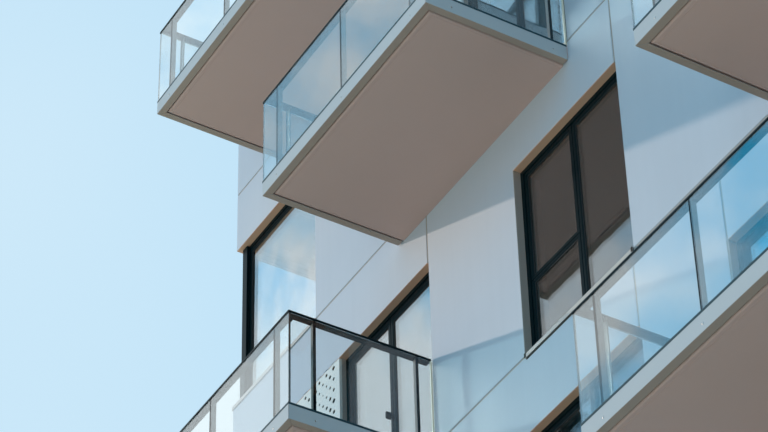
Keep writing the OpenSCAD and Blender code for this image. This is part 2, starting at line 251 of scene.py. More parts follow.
class Shell:
    """Points and faces gathered as whole arrays, and made into one mesh object."""

    def __init__(self, name: str) -> None:
        """Starts an empty shell with the name of the piece that it becomes.

        Args:
            name: the piece's name.
        """
        self.name = name
        self.points: list[Array] = []
        self.faces: list[Array] = []
        self.count = 0

    def add(self, part: Part, wall: Wall, move: Sequence[float] = (0.0, 0.0, 0.0)) -> None:
        """Adds a part that is drawn in a wall's frame.

        Args:
            part: the part.
            wall: the wall.
            move: how far it is moved within that frame.
        """
        points, faces = part
        self.points.append(wall.place(points.reshape(-1, 3) + np.array(move)))
        self.faces += [f + self.count for f in faces]
        self.count += len(self.points[-1])

    def build(
        self,
        slot: str,
        *finishes: "Finish",
        node: str = "",
        pick: Callable[[Array, Array], Array] | None = None,
        closed: bool = True,
        bevel: float = 0.0,
    ) -> None:
        """Makes the mesh object with its finishes, and has it ride on the block.

        Args:
            slot: the record's material slot that the finishes stand for; it is not used.
            finishes: what dresses its faces.
            node: the CAD node that it stands for, or none.
            pick: says from the faces' (n, 3) normals and centres which finish each has: 0 for the first.
            closed: whether its parts are closed, so that their faces can be turned outwards.
            bevel: width of a bevel on its sharp edges.
        """
        mesh = bpy.data.meshes.new(self.name)
        corners = np.concatenate([f.ravel() for f in self.faces]).astype(np.int32)
        totals = np.concatenate([np.full(len(f), f.shape[1]) for f in self.faces]).astype(np.int32)
        starts = np.concatenate([[0], np.cumsum(totals)[:-1]]).astype(np.int32)
        mesh.vertices.add(self.count)
        mesh.vertices.foreach_set("co", np.concatenate(self.points).astype(np.float32).ravel())
        mesh.loops.add(len(corners))
        mesh.loops.foreach_set("vertex_index", corners)
        mesh.polygons.add(len(totals))
        mesh.polygons.foreach_set("loop_start", starts)
        mesh.polygons.foreach_set("loop_total", totals)
        mesh.polygons.foreach_set("use_smooth", np.zeros(len(totals), bool))
        mesh.update(calc_edges=True)
        mesh.validate()
        if closed:
            work = bmesh.new()
            work.from_mesh(mesh)
            bmesh.ops.recalc_face_normals(work, faces=work.faces)
            work.to_mesh(mesh)
            work.free()
        for finish in finishes:
            mesh.materials.append(finish.material())
        if pick:
            normals, centres = (np.empty(len(mesh.polygons) * 3, np.float32) for _ in range(2))
            mesh.polygons.foreach_get("normal", normals)
            mesh.polygons.foreach_get("center", centres)
            chosen = pick(normals.reshape(-1, 3), centres.reshape(-1, 3))
            mesh.polygons.foreach_set("material_index", chosen.astype(np.int32))
        piece = bpy.data.objects.new(self.name, mesh)
        bpy.context.scene.collection.objects.link(piece)
        if bevel:
            rounding = piece.modifiers.new("arris", "BEVEL")
            rounding.width, rounding.segments, rounding.limit_method = bevel, 1, "ANGLE"
            rounding.material = -1
        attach(piece, "root")
        if node:
            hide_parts(node)
        LOG.info("%s: %d points, %d faces", self.name, self.count, len(totals))


def boxes(spans: Array | Sequence[Sequence[float]], chamfer: float = 0.0015) -> Part:
    """Boxes with every edge cut off at 45 degrees.

    Each corner of a box becomes three points. Point a of a corner stays on the face across axis a and moves
    inwards by the chamfer along the other two axes.

    Args:
        spans: rows of x, y and z of a box's lowest corner, then of its highest.
        chamfer: width of the cut, measured along the faces.

    Returns:
        The part, with 24 points for each box.
    """
    ends = np.array(spans, float).reshape(-1, 2, 3)
    signs = np.array(list(product((0, 1), repeat=3)))
    inward = chamfer * (1 - 2 * signs)[:, None] * (1 - np.eye(3))
    points = ends[:, signs, np.arange(3)][:, :, None] + inward
    step = (12, 6, 3)
    quads = []
    for a in range(3):
        b, c = (a + 1) % 3, (a + 2) % 3
        for end in (0, 1):
            loop = [end * step[a] + u * step[b] + v * step[c] + a for u, v in SQUARE]
            quads.append(loop if end else loop[::-1])
        for u, v in SQUARE:
            at = u * step[b] + v * step[c]
            loop = [at + b, at + step[a] + b, at + step[a] + c, at + c]
            quads.append(loop if u == v else loop[::-1])
    thirds = np.arange(24).reshape(8, 3)
    thirds = np.where(signs.sum(1, keepdims=True) % 2, thirds, thirds[:, ::-1])
    first = np.arange(len(ends))[:, None, None] * 24
    return points, [(first + np.array(quads)).reshape(-1, 4), (first + thirds).reshape(-1, 3)]


def rounded(left: float, low: float, right: float, high: float, radius: float, steps: int) -> Array:
    """A rectangle's outline with rounded corners, which goes up its left side first.

    The curve at a corner is the quadratic one that has its ends a radius away and the corner as its handle.

    Args:
        left: place of the left side.
        low: place of the lower side.
        right: place of the right side.
        high: place of the upper side.
        radius: the corners' radius.
        steps: straight pieces to each corner.

    Returns:
        (n, 2) points of the outline.
    """
    here = np.array([(left, low), (left, high), (right, high), (right, low)])
    back, ahead = (radius * np.sign(np.roll(here, turn, 0) - here)[:, None] for turn in (1, -1))
    t = np.linspace(0, 1, steps + 1)[None, :, None]
    return (here[:, None] + (1 - t) ** 2 * back + t**2 * ahead).reshape(-1, 2)


def joined(parts: int, rings: int, around: int, closed: bool = False) -> Array:
    """The faces between the rings of points that parts are made of.

    Point k of ring j is joined to point k + 1 and to the same two points of ring j + 1.

    Args:
        parts: how many parts there are.
        rings: how many rings each part has.
        around: how many points each ring has.
        closed: whether a part's last ring is joined to its first.

    Returns:
        (n, 4) point numbers.
    """
    i, j, k = np.indices((parts, rings if closed else rings - 1, around))
    this, other = ((i * rings + ring % rings) * around for ring in (j, j + 1))
    ahead = (k + 1) % around
    return np.stack([this + k, this + ahead, other + ahead, other + k], -1).reshape(-1, 4)


def rectangle_rings(outer: Array, inner: Array, profile: Sequence[Pair]) -> Part:
    """A closed profile carried round rectangles, with mitred corners.

    Profile point (f, v) runs round the rectangle that lies the fraction f of the way from the outer to the
    inner one, at depth v.

    Args:
        outer: (n, 4) left, low, right and high sides, in a wall's x and z.
        inner: the same for the inner rectangles.
        profile: fraction and depth of each of its points.

    Returns:
        The part in the wall's frame.
    """
    share, depth = np.array(profile, float).T
    sides = outer[:, None] + share[None, :, None] * (inner - outer)[:, None]
    left, low, right, high = np.moveaxis(sides, -1, 0)
    y = np.broadcast_to(depth, left.shape)
    around = ((left, low), (right, low), (right, high), (left, high))
    points = np.stack([np.stack([x, y, z], -1) for x, z in around], 2)
    return points, [joined(*left.shape, len(around), closed=True)]


def lofted(rings: Sequence[Array]) -> Part:
    """A closed outline carried through stations, with flat ends.

    Args:
        rings: the (p, 3) outline at each station.

    Returns:
        The part.
    """
    points = np.stack(rings)
    m, p = points.shape[:2]
    end = np.arange(p)[None]
    return points, [joined(1, m, p), end[:, ::-1], end + (m - 1) * p]


def filled_cells(planes: Sequence[Sequence[float]], filled: Array) -> Part:
    """The skin of the filled cells of a grid.

    A face stands wherever a filled cell meets an empty one, and points from the filled to the empty.

    Args:
        planes: places of the grid's planes along x, along y and along z.
        filled: whether each cell is filled, with one cell less along each axis than there are planes.

    Returns:
        The part.
    """
    points = np.stack(np.meshgrid(*planes, indexing="ij"), -1).reshape(-1, 3)
    shape = tuple(len(p) for p in planes)
    padded = np.pad(filled.astype(int), 1)
    faces = []
    for a in range(3):
        inner = [slice(1, -1)] * 3
        inner[a] = slice(None)
        step = np.diff(padded[tuple(inner)], axis=a)
        moves = [np.roll((0, u, v), a) for u, v in SQUARE]
        for sign in (1, -1):
            at = np.argwhere(step == sign)
            face = np.stack([np.ravel_multi_index((at + move).T, shape) for move in moves], -1)
            faces.append(face[:, ::-sign])
    used, index = np.unique(np.concatenate(faces), return_inverse=True)
    return points[used], [index.reshape(-1, 4)]


def halves(rect: Array, axis: int, middle: float, gap: float) -> list[Array]:
    """A rectangle's two parts on either side of a gap.

    Args:
        rect: its left, low, right and high sides.
        axis: 0 for a gap that parts left from right, 1 for one that parts low from high.
        middle: place of the gap's middle.
        gap: the gap's width.

    Returns:
        The sides of the first part and of the second.
    """
    first, second = rect.copy(), rect.copy()
    first[axis + 2], second[axis] = middle - gap / 2, middle + gap / 2
    return [first, second]


# Finishes


class Sheet:
    """A node tree with short ways to add and join nodes."""

    def __init__(self, tree: bpy.types.NodeTree) -> None:
        """Takes over a tree, and empties it."""
        self.tree = tree
        tree.nodes.clear()

    def feed(self, node: bpy.types.Node, inputs: dict) -> None:
        """Sets a node's inputs. A colour gets its alpha here.

        Args:
            node: the node.
            inputs: values, or sockets to join, by the input's name or number.
        """
        for name, value in inputs.items():
            socket = node.inputs[name]
            if isinstance(value, Socket):
                self.tree.links.new(value, socket)
            else:
                socket.default_value = (*value, 1.0) if socket.type == "RGBA" else value

    def add(self, kind: str, inputs: dict | None = None, **settings: object) -> bpy.types.Node:
        """Adds a node.

        Args:
            kind: the node's type, without its ShaderNode prefix.
            inputs: what feed is to give it.
            settings: the node's own properties.

        Returns:
            The new node.
        """
        node = self.tree.nodes.new("ShaderNode" + kind)
        for name, value in settings.items():
            setattr(node, name, value)
        self.feed(node, inputs or {})
        return node

    def math(self, operation: str, *values: object, clamp: bool = False) -> Socket:
        """A Math node's result for the given values or sockets."""
        return self.add("Math", dict(enumerate(values)), operation=operation, use_clamp=clamp).outputs[0]

    def ramp(self, value: Socket, low: float, width: float) -> Socket:
        """How far a value has come from a low one over a width, kept between 0 and 1."""
        return self.math("DIVIDE", self.math("SUBTRACT", value, low), width, clamp=True)

    def blend(self, factor: object, first: object, second: object) -> Socket:
        """A colour mix of two colours or sockets."""
        return self.add("Mix", {0: factor, 6: first, 7: second}, data_type="RGBA").outputs[2]

    def noise(
        self, place: Socket, scale: Colour, detail: float, start: Sequence[float] = (0.0, 0.0, 0.0)
    ) -> Socket:
        """Noise on a place, with its own scale along each axis and a starting place."""
        mapped = self.add("Mapping", {"Vector": place, "Scale": scale, "Location": start}).outputs[0]
        return self.add("TexNoise", {"Vector": mapped, "Scale": 1.0, "Detail": detail}).outputs[0]

    def mask(self, effect: "Effect", place: Socket, contrast: float = 1.0) -> Socket:
        """The mask of a shared effect, with its own contrast."""
        inputs = {"Place": place, "Contrast": contrast}
        return self.add("Group", inputs, node_tree=effect_group(effect)).outputs[0]

    def bump(self, height: Socket, depth: float) -> Socket:
        """The normal of a bump of a depth in metres."""
        return self.add("Bump", {"Height": height, "Strength": 1.0, "Distance": depth}).outputs[0]


class Effect(Enum):
    """The shader node groups that several finishes share, by their names."""

    STREAKS = "rain streaks"
    CLOUDING = "soft clouding"
    GRAIN = "fine grain"
    STOREY_DIRT = "dirt at the storeys"


# The layers of noise in each effect: scale along x, y and z, detail, and share of the pattern
LAYERS = {
    Effect.STREAKS: (((2.3, 2.3, 0.10), 2.0, 0.6), ((11.0, 11.0, 0.22), 3.0, 0.4)),
    Effect.CLOUDING: (((0.35, 0.35, 0.35), 2.0, 0.7), ((2.1, 2.1, 2.1), 4.0, 0.3)),
    Effect.GRAIN: (((160.0, 160.0, 160.0), 2.0, 1.0),),
    Effect.STOREY_DIRT: (((9.0, 9.0, 0.30), 3.0, 1.0),),
}
# How far the dirt runs down from a storey's joint
DIRT_RUN = 0.55


def effect_group(effect: Effect) -> bpy.types.NodeTree:
    """The node group of an effect, built once, from a place and a contrast to a mask from 0 to 1.

    The pattern is the sum of the layers, each times its share. The dirt fades downwards from each storey's
    joint. The mask is 0.5 plus the contrast times the pattern's distance from 0.5.

    Args:
        effect: which of the shared effects.

    Returns:
        The group's node tree.
    """
    made = bpy.data.node_groups.get(effect.value)
    if made:
        return made
    tree = bpy.data.node_groups.new(effect.value, "ShaderNodeTree")
    ways = (("Place", "INPUT", "Vector"), ("Contrast", "INPUT", "Float"), ("Mask", "OUTPUT", "Float"))
    for name, way, kind in ways:
        tree.interface.new_socket(name, in_out=way, socket_type="NodeSocket" + kind)
    sheet = Sheet(tree)
    place, contrast = tree.nodes.new("NodeGroupInput").outputs[:2]
    pattern: Socket | float = 0.0
    for scale, detail, share in LAYERS[effect]:
        pattern = sheet.math("MULTIPLY_ADD", sheet.noise(place, scale, detail), share, pattern)
    if effect is Effect.STOREY_DIRT:
        z = sheet.add("SeparateXYZ", {0: place}).outputs[2]
        above = sheet.math("MODULO", sheet.math("SUBTRACT", z, BLOCK.slab - BLOCK.joint), BLOCK.storey)
        fade = sheet.ramp(above, BLOCK.storey - DIRT_RUN, DIRT_RUN)
        pattern = sheet.math("MULTIPLY", sheet.math("MULTIPLY", fade, fade), pattern, clamp=True)
    spread = sheet.math("MULTIPLY", sheet.math("SUBTRACT", pattern, 0.5), contrast)
    sheet.feed(tree.nodes.new("NodeGroupOutput"), {"Mask": sheet.math("ADD", spread, 0.5, clamp=True)})
    return tree


def shade(colour: Colour, factor: float) -> Colour:
    """A colour made lighter or darker by a factor."""
    return tuple(min(1.0, c * factor) for c in colour)


@dataclass(frozen=True)
class Finish:
    """A surface finish: its main numbers, and how it is made into a material."""

    name: str
    colour: Colour
    roughness: float = 0.5

    def material(self) -> bpy.types.Material:
        """The finish's material, made the first time that it is asked for.

        Returns:
            The material.
        """
        made = bpy.data.materials.get(self.name)
        if made:
            return made
        material = bpy.data.materials.new(self.name)
        material.use_nodes = True
        sheet = Sheet(material.node_tree)
        shader = sheet.add("BsdfPrincipled", {"Base Color": self.colour, "Roughness": self.roughness})
        surface = self.dress(sheet, shader, sheet.add("TexCoord").outputs["Object"])
        sheet.add("OutputMaterial", {"Surface": surface})
        return material

    def dress(self, sheet: Sheet, shader: bpy.types.Node, place: Socket) -> Socket:
        """Adds what makes the finish more than a flat colour.

        Args:
            sheet: the material's nodes.
            shader: its main shader.
            place: Object coordinates.

        Returns:
            The shader socket for the surface.
        """
        return shader.outputs[0]


@dataclass(frozen=True)
class Opaque(Finish):
    """An opaque finish: soft clouding in its tone, streaks in its roughness and a fine grain.

    The texture of a class is the contrast of the clouding and of the streaks, what the streaks add to the
    roughness, what is taken off it first, and the grain's depth in metres.
    """

    variation: float = 0.05
    texture: ClassVar[tuple[float, ...]] = (1.8, 1.5, 0.14, 0.07, 0.00008)

    def soiled(self, sheet: Sheet, place: Socket, lines: Socket, tone: Socket) -> Socket:
        """What soils the tone: nothing, unless a class says so.

        Args:
            sheet: the material's nodes.
            place: Object coordinates.
            lines: the streaks' mask.
            tone: the clean tone.

        Returns:
            The soiled tone.
        """
        return tone

    def dress(self, sheet: Sheet, shader: bpy.types.Node, place: Socket) -> Socket:
        """Adds colour, roughness and bump.

        Args:
            sheet: the sheet of nodes to draw on.
            shader: the material's shader.
            place: the place on the piece, in metres.

        Returns:
            The finished surface.
        """
        clouding, streaking, swing, less, grain = self.texture
        clouds = sheet.mask(Effect.CLOUDING, place, clouding)
        lines = sheet.mask(Effect.STREAKS, place, streaking)
        dark, light = (shade(self.colour, 1 + side * self.variation) for side in (-1, 1))
        tone = self.soiled(sheet, place, lines, sheet.blend(clouds, dark, light))
        rough = sheet.math("MULTIPLY_ADD", lines, swing, self.roughness - less)
        normal = sheet.bump(sheet.mask(Effect.GRAIN, place), grain)
        sheet.feed(shader, {"Base Color": tone, "Roughness": rough, "Normal": normal})
        return shader.outputs[0]


@dataclass(frozen=True)
class Cast(Opaque):
    """Cast or plastered concrete: streaks in its tone too, and dirt at the storeys."""

    variation: float = 0.06
    streaks: float = 0.05
    dirt: float = 0.0
    texture: ClassVar[tuple[float, ...]] = (1.6, 1.8, 0.15, 0.08, 0.0004)
    streak_tone: ClassVar[float] = 0.6
    dirt_colour: ClassVar[Colour] = (0.20, 0.19, 0.17)

    def soiled(self, sheet: Sheet, place: Socket, lines: Socket, tone: Socket) -> Socket:
        """The tone with streaks and dirt over it.

        Args:
            sheet: the sheet of nodes to draw on.
            place: the place on the piece, in metres.
            lines: the mask of the streaks.
            tone: the colour under them.

        Returns:
            The soiled colour.
        """
        share = sheet.math("MULTIPLY", lines, self.streaks)
        tone = sheet.blend(share, tone, shade(self.colour, self.streak_tone))
        if not self.dirt:
            return tone
        low = sheet.math("SUBTRACT", sheet.mask(Effect.STOREY_DIRT, place), 0.5, clamp=True)
        return sheet.blend(sheet.math("MULTIPLY", low, self.dirt * 2), tone, self.dirt_colour)


@dataclass(frozen=True)
class Coated(Opaque):
    """Powder-coated or anodised metal, rubber or sealant: even, with a gloss of its own."""

    metallic: float = 0.0
    gloss: float = 0.5
    tint: Colour = (1.0, 1.0, 1.0)

    def dress(self, sheet: Sheet, shader: bpy.types.Node, place: Socket) -> Socket:
        """Adds the gloss, then what every opaque finish has.

        Args:
            sheet: the sheet of nodes to draw on.
            shader: the material's shader.
            place: the place on the piece, in metres.

        Returns:
            The finished surface.
        """
        gloss = {"Metallic": self.metallic, "Specular IOR Level": self.gloss, "Specular Tint": self.tint}
        sheet.feed(shader, gloss)
        return super().dress(sheet, shader, place)


@dataclass(frozen=True)
class Glass(Finish):
    """Clear tinted glass. Shadow rays pass through it, so that what stands behind it is lit."""

    index: float = 1.5
    wave: float = 0.0012
    shadow: Colour = (0.5, 0.53, 0.54)
    dust: ClassVar[float] = 2.0
    wave_scale: ClassVar[Colour] = (1.6, 1.6, 1.1)
    wave_detail: ClassVar[float] = 1.5

    def dress(self, sheet: Sheet, shader: bpy.types.Node, place: Socket) -> Socket:
        """Adds transmission, with faint runs of dust in the roughness and soft waves.

        Args:
            sheet: the sheet of nodes to draw on.
            shader: the material's shader.
            place: the place on the piece, in metres.

        Returns:
            The finished surface.
        """
        rough = sheet.math("MULTIPLY", sheet.mask(Effect.STREAKS, place, self.dust), self.roughness)
        normal = sheet.bump(sheet.noise(place, self.wave_scale, self.wave_detail), self.wave)
        inputs = {"Transmission Weight": 1.0, "IOR": self.index, "Roughness": rough, "Normal": normal}
        sheet.feed(shader, inputs)
        clear = sheet.add("BsdfTransparent", {"Color": self.shadow})
        ray = sheet.add("LightPath").outputs
        through = sheet.math("MAXIMUM", ray["Is Shadow Ray"], ray["Is Diffuse Ray"])
        return sheet.add("MixShader", {0: through, 1: shader.outputs[0], 2: clear.outputs[0]}).outputs[0]


class Palette:
    """Every finish of the block, by what it covers."""

    panel = Cast("precast panel", (0.58, 0.612, 0.675), 0.62, 0.05, streaks=0.10, dirt=0.10)
    # The heads of the openings: a warm brown painted in for the light bounced up from below onto them
    reveal = Cast("precast head with painted bounce light", (0.86, 0.49, 0.33), 0.66, 0.05)
    # The sides of the openings: darker than the panels, painted shade inside the openings
    jamb = Cast("precast jamb with painted shade", (0.45, 0.38, 0.335), 0.66, 0.05)
    base = Cast("base concrete", (0.24, 0.20, 0.18), 0.8, 0.10, streaks=0.15)
    # Very dark: painted shade of the unlit rooms seen through the windows
    slab = Cast("slab with painted room shade", (0.12, 0.10, 0.08), 0.8, 0.08)
    membrane = Cast("roof membrane", (0.25, 0.21, 0.19), 0.75, 0.12)
    # Very dark: painted shade of the unlit rooms seen through the windows
    inner = Cast("inner wall", (0.11, 0.09, 0.07), 0.8)
    # The soffits: a warm brown painted in for the light bounced up from below onto them
    soffit = Cast("balcony soffit with painted bounce light", (0.67, 0.44, 0.385), 0.7, 0.04, streaks=0.02)
    frame = Coated("frame metal", (0.0035, 0.012, 0.015), 0.30, 0.15, gloss=0.06, tint=(0.35, 0.85, 1.0))
    rail = Coated("rail metal", (0.002, 0.007, 0.009), 0.30, 0.15, gloss=0.1, tint=(0.4, 0.85, 1.0))
    trim = Coated("trim metal", (0.52, 0.53, 0.54), 0.45, 0.04, gloss=0.35)
    # The trims' downward faces: a warm brown painted in for the light bounced up from below
    lip = Coated("trim underside with painted bounce light", (0.45, 0.33, 0.27), 0.5, 0.06)
    cover = Coated("cover metal", (0.98, 0.93, 0.87), 0.45, 0.04)
    post = Coated("post metal", (0.24, 0.22, 0.19), 0.38, metallic=0.3)
    strip = Coated("rail underside", (0.012, 0.018, 0.02), 0.45, gloss=0.05)
    bolt = Coated("bolt metal", (0.74, 0.66, 0.60), 0.25, metallic=0.9)
    sill = Coated("sill metal", (0.60, 0.53, 0.48), 0.35, metallic=0.7)
    spacer = Coated("spacer metal", (0.22, 0.20, 0.18), 0.4, metallic=0.6)
    coping = Coated("coping metal", (0.55, 0.49, 0.45), 0.38, metallic=0.7)
    rubber = Coated("gasket rubber", (0.010, 0.011, 0.012), 0.7)
    shoe = Coated("shoe metal", (0.012, 0.05, 0.065), 0.3, gloss=0.3)
    # A dark strip under each window's sill, which makes the band under the sill dark
    dark_strip = Coated("dark sill strip", (0.035, 0.028, 0.022), 0.8)
    # A dark sheet behind the covers' holes: painted shade for the recess behind them
    painted_shade_sheet = Coated("painted shade behind cover", (0.02, 0.024, 0.028), 0.9)
    seal = Coated("joint sealant", (0.40, 0.34, 0.30), 0.8)
    # Bright cream on the side glass's wall seals: painted sunlight falling on the wall through the gap
    seal_with_painted_sunlight = Coated("sealant with painted sunlight", (0.98, 0.86, 0.68), 0.6)
    window_glass = Glass("window glass", (0.90, 0.96, 1.0), 0.004, 1.55)
    door_glass = Glass("door glass", (0.93, 0.98, 1.0), 0.004, 3.0)
    side_glass = Glass("side glass", (0.90, 0.96, 0.98), 0.0, 1.6, 0.0004, (0.50, 0.68, 0.74))
    balcony_glass = Glass("balcony glass", (0.84, 0.955, 1.0), 0.0, 2.5, 0.0004, (0.50, 0.68, 0.74))


# Sub-assemblies


@dataclass
class CadFinishes:
    """The CAD nodes' own finishes; the nodes that no piece replaces show them."""

    finishes: ClassVar[dict[str, Finish]] = {
        "plinth": Palette.base,
        # The slabs and the inner walls take very dark finishes, painted shade of the unlit rooms
        "ground_slab": Palette.slab,
        "floor_slabs": Palette.slab,
        "roof_slab": Palette.membrane,
        "piers": Palette.inner,
        "lintels": Palette.inner,
        "parapet_core": Palette.inner,
        "panels": Palette.panel,
        "frames": Palette.frame,
        "corner_posts": Palette.frame,
        "panes": Palette.window_glass,
        "window_sills": Palette.sill,
        "perforated_covers": Palette.cover,
        "coping": Palette.coping,
        "balcony_slabs": Palette.soffit,
        "balcony_trims": Palette.trim,
        "glass_shoes": Palette.shoe,
        "balcony_glass": Palette.balcony_glass,
        "balcony_posts": Palette.post,
        "top_rails": Palette.rail,
    }

    def dress(self) -> None:
        """Gives every CAD node the finish whose key ends its name."""
        for name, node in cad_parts.items():
            finish = next(f for k, f in self.finishes.items() if name.endswith(k))
            node.data.materials.clear()
            node.data.materials.append(finish.material())
            LOG.info("%s: %s", name, finish.name)


def faces_down(normals: Array, centres: Array) -> Array:
    """Which faces look down; the trims and the openings' heads give these a warm colour that paints light
    bounced up from below.
    """
    return normals[:, 2] < -LEVEL


def reveals(normals: Array, centres: Array) -> Array:
    """Which faces of the panels are an opening's head, 1, or one of its sides, 2.

    Args:
        normals: the faces' normals.
        centres: the faces' centres.

    Returns:
        A number for each face: 1, 2, or 0 for any other face.
    """
    slack = 0.002
    within = (abs(centres[:, 0]) < BLOCK.width / 2 - slack) & (abs(centres[:, 1]) < BLOCK.depth / 2 - slack)
    above = (centres[:, 2] - BLOCK.slab) % BLOCK.storey
    head = faces_down(normals, centres) & (abs(above - BLOCK.head) < 5 * slack)
    side = (abs(normals[:, 2]) < LEVEL) & (abs(above - BLOCK.head / 2) < 10 * slack)
    # Finish 1 paints warm light bounced up onto the heads; finish 2 paints the shade on the openings' sides
    return np.where(head & within, 1, np.where(side & within, 2, 0))


def door_panes(normals: Array, centres: Array) -> Array:
    """Which faces of the panes belong to the doors and the corner windows, whose glass mirrors more.

    Args:
        normals: the faces' normals; not used.
        centres: the faces' centres.

    Returns:
        True for each face of such a pane.
    """
    chosen = np.zeros(len(centres), bool)
    reach = np.array([BLOCK.corner / 2, BLOCK.wall, BLOCK.head / 2])
    for wall in LONG_WALLS:
        for floor, o in wall.openings(Kind.DOOR, Kind.CORNER):
            middle = wall.place(np.array([(o.left + o.right) / 2, 0, floor + BLOCK.head / 2]))
            chosen |= (abs(centres - middle) < reach).all(1)
    return chosen


@dataclass
class PanelWork:
    """The precast panels of the walls and of the roof's edge, and the seals in the joints between them."""

    wall: Wall = WALLS[0]
    arris: float = 0.004
    recess: float = 0.03
    corner_trim: float = 0.14
    seal_back: float = 0.004
    seal_deep: float = 0.02

    def stops(self, row: list[Opening]) -> list[float]:
        """Right edges of a storey's joints."""
        return [o.joint for o in row if o.right < self.wall.length - SLACK]

    def spans(self, row: list[Opening]) -> list[Pair]:
        """Where a storey's panels stand.

        Args:
            row: the storey's openings.

        Returns:
            Left and right end of each panel.
        """
        trim = 0.0 if self.wall in LONG_WALLS else self.corner_trim
        stops = self.stops(row)
        ends = zip([0.0, *stops], [*(s - BLOCK.joint for s in stops), self.wall.length])
        kept = [(max(left, trim), min(right, self.wall.length - trim)) for left, right in ends]
        return [(left, right) for left, right in kept if right > left]

    def panel(self, ends: Pair, low: float, high: float, row: list[Opening]) -> Part:
        """One panel, with its openings and the covers' recesses left out of a grid of cells.

        Args:
            ends: its left and right end.
            low: its lower edge.
            high: its upper edge.
            row: the storey's openings, or none.

        Returns:
            The part in the wall's frame.
        """
        left, right = ends
        openings = [(o.left, o.right) for o in row]
        recesses = [BLOCK.recess(o) for o in row if o.kind is Kind.DOOR]
        cuts = [x for cut in openings + recesses for x in cut if left < x < right]
        xs = np.unique([left, right, *cuts])
        zs = [low, low + BLOCK.head, high] if row else [low, high]
        filled = np.ones((len(xs) - 1, 2, len(zs) - 1), bool)
        middle = (xs[1:] + xs[:-1]) / 2
        for cuts, layers in ((openings, 2), (recesses, 1)):
            for start, end in cuts:
                filled[(middle > start) & (middle < end), :layers, 0] = False
        return filled_cells((xs, [0.0, self.recess, BLOCK.panel], zs), filled)

    def seals(self) -> Part:
        """The seals of the wall's joints, set back from its face.

        Returns:
            The points and faces of the seals, in the wall's own directions.
        """
        near, far, gap = self.seal_back, self.seal_back + self.seal_deep, BLOCK.joint
        long = self.wall in LONG_WALLS
        inset = near if long else BLOCK.panel
        storeys = enumerate(self.wall.rows())
        rows = [(BLOCK.floor(s), BLOCK.floor(s + 1), row, BLOCK.head) for s, row in storeys]
        rows.append((BLOCK.roof(), BLOCK.roof() + BLOCK.parapet + gap, rows[-1][2], 0.0))
        end = self.wall.length - SLACK
        spans = []
        for low, top, row, opened in rows:
            head = low + opened
            if opened:
                spans.append((inset, near, top - gap, self.wall.length - inset, far, top))
            around = {o.joint for o in row if o.turned()}
            starts = [(x - gap, low if x in around else head) for x in self.stops(row)]
            if not long:
                first, last = any(o.left == 0 for o in row), any(o.right > end for o in row)
                starts.append((BLOCK.panel, head if first else low))
                starts.append((self.wall.length - self.corner_trim, head if last else low))
            spans += [(x, near, start, x + gap, far, top - gap) for x, start in starts]
        return boxes(spans, chamfer=0.001)

    def build(self) -> None:
        """Builds each wall's panels, the roof's edge and the seals."""
        edge, seals = Shell("roof_edge_panels"), Shell("joint_seals")
        for wall in WALLS:
            work = replace(self, wall=wall)
            shell = Shell(f"{wall.name}_wall_panels")
            for s, row in enumerate(wall.rows()):
                for ends in work.spans(row):
                    shell.add(self.panel(ends, BLOCK.floor(s), BLOCK.floor(s + 1) - BLOCK.joint, row), wall)
            # The head and jamb finishes paint light: warm bounce light on the heads, shade on the sides
            finishes = (Palette.panel, Palette.reveal, Palette.jamb)
            node = f"{wall.name}_panels"
            shell.build("panel_concrete", *finishes, node=node, pick=reveals, bevel=self.arris)
            for ends in work.spans(wall.rows()[-1]):
                edge.add(self.panel(ends, BLOCK.roof(), BLOCK.roof() + BLOCK.parapet, []), wall)
            seals.add(work.seals(), wall)
        edge.build("panel_concrete", Palette.panel, node="parapet_panels", bevel=self.arris)
        seals.build("shoe_rubber", Palette.seal)


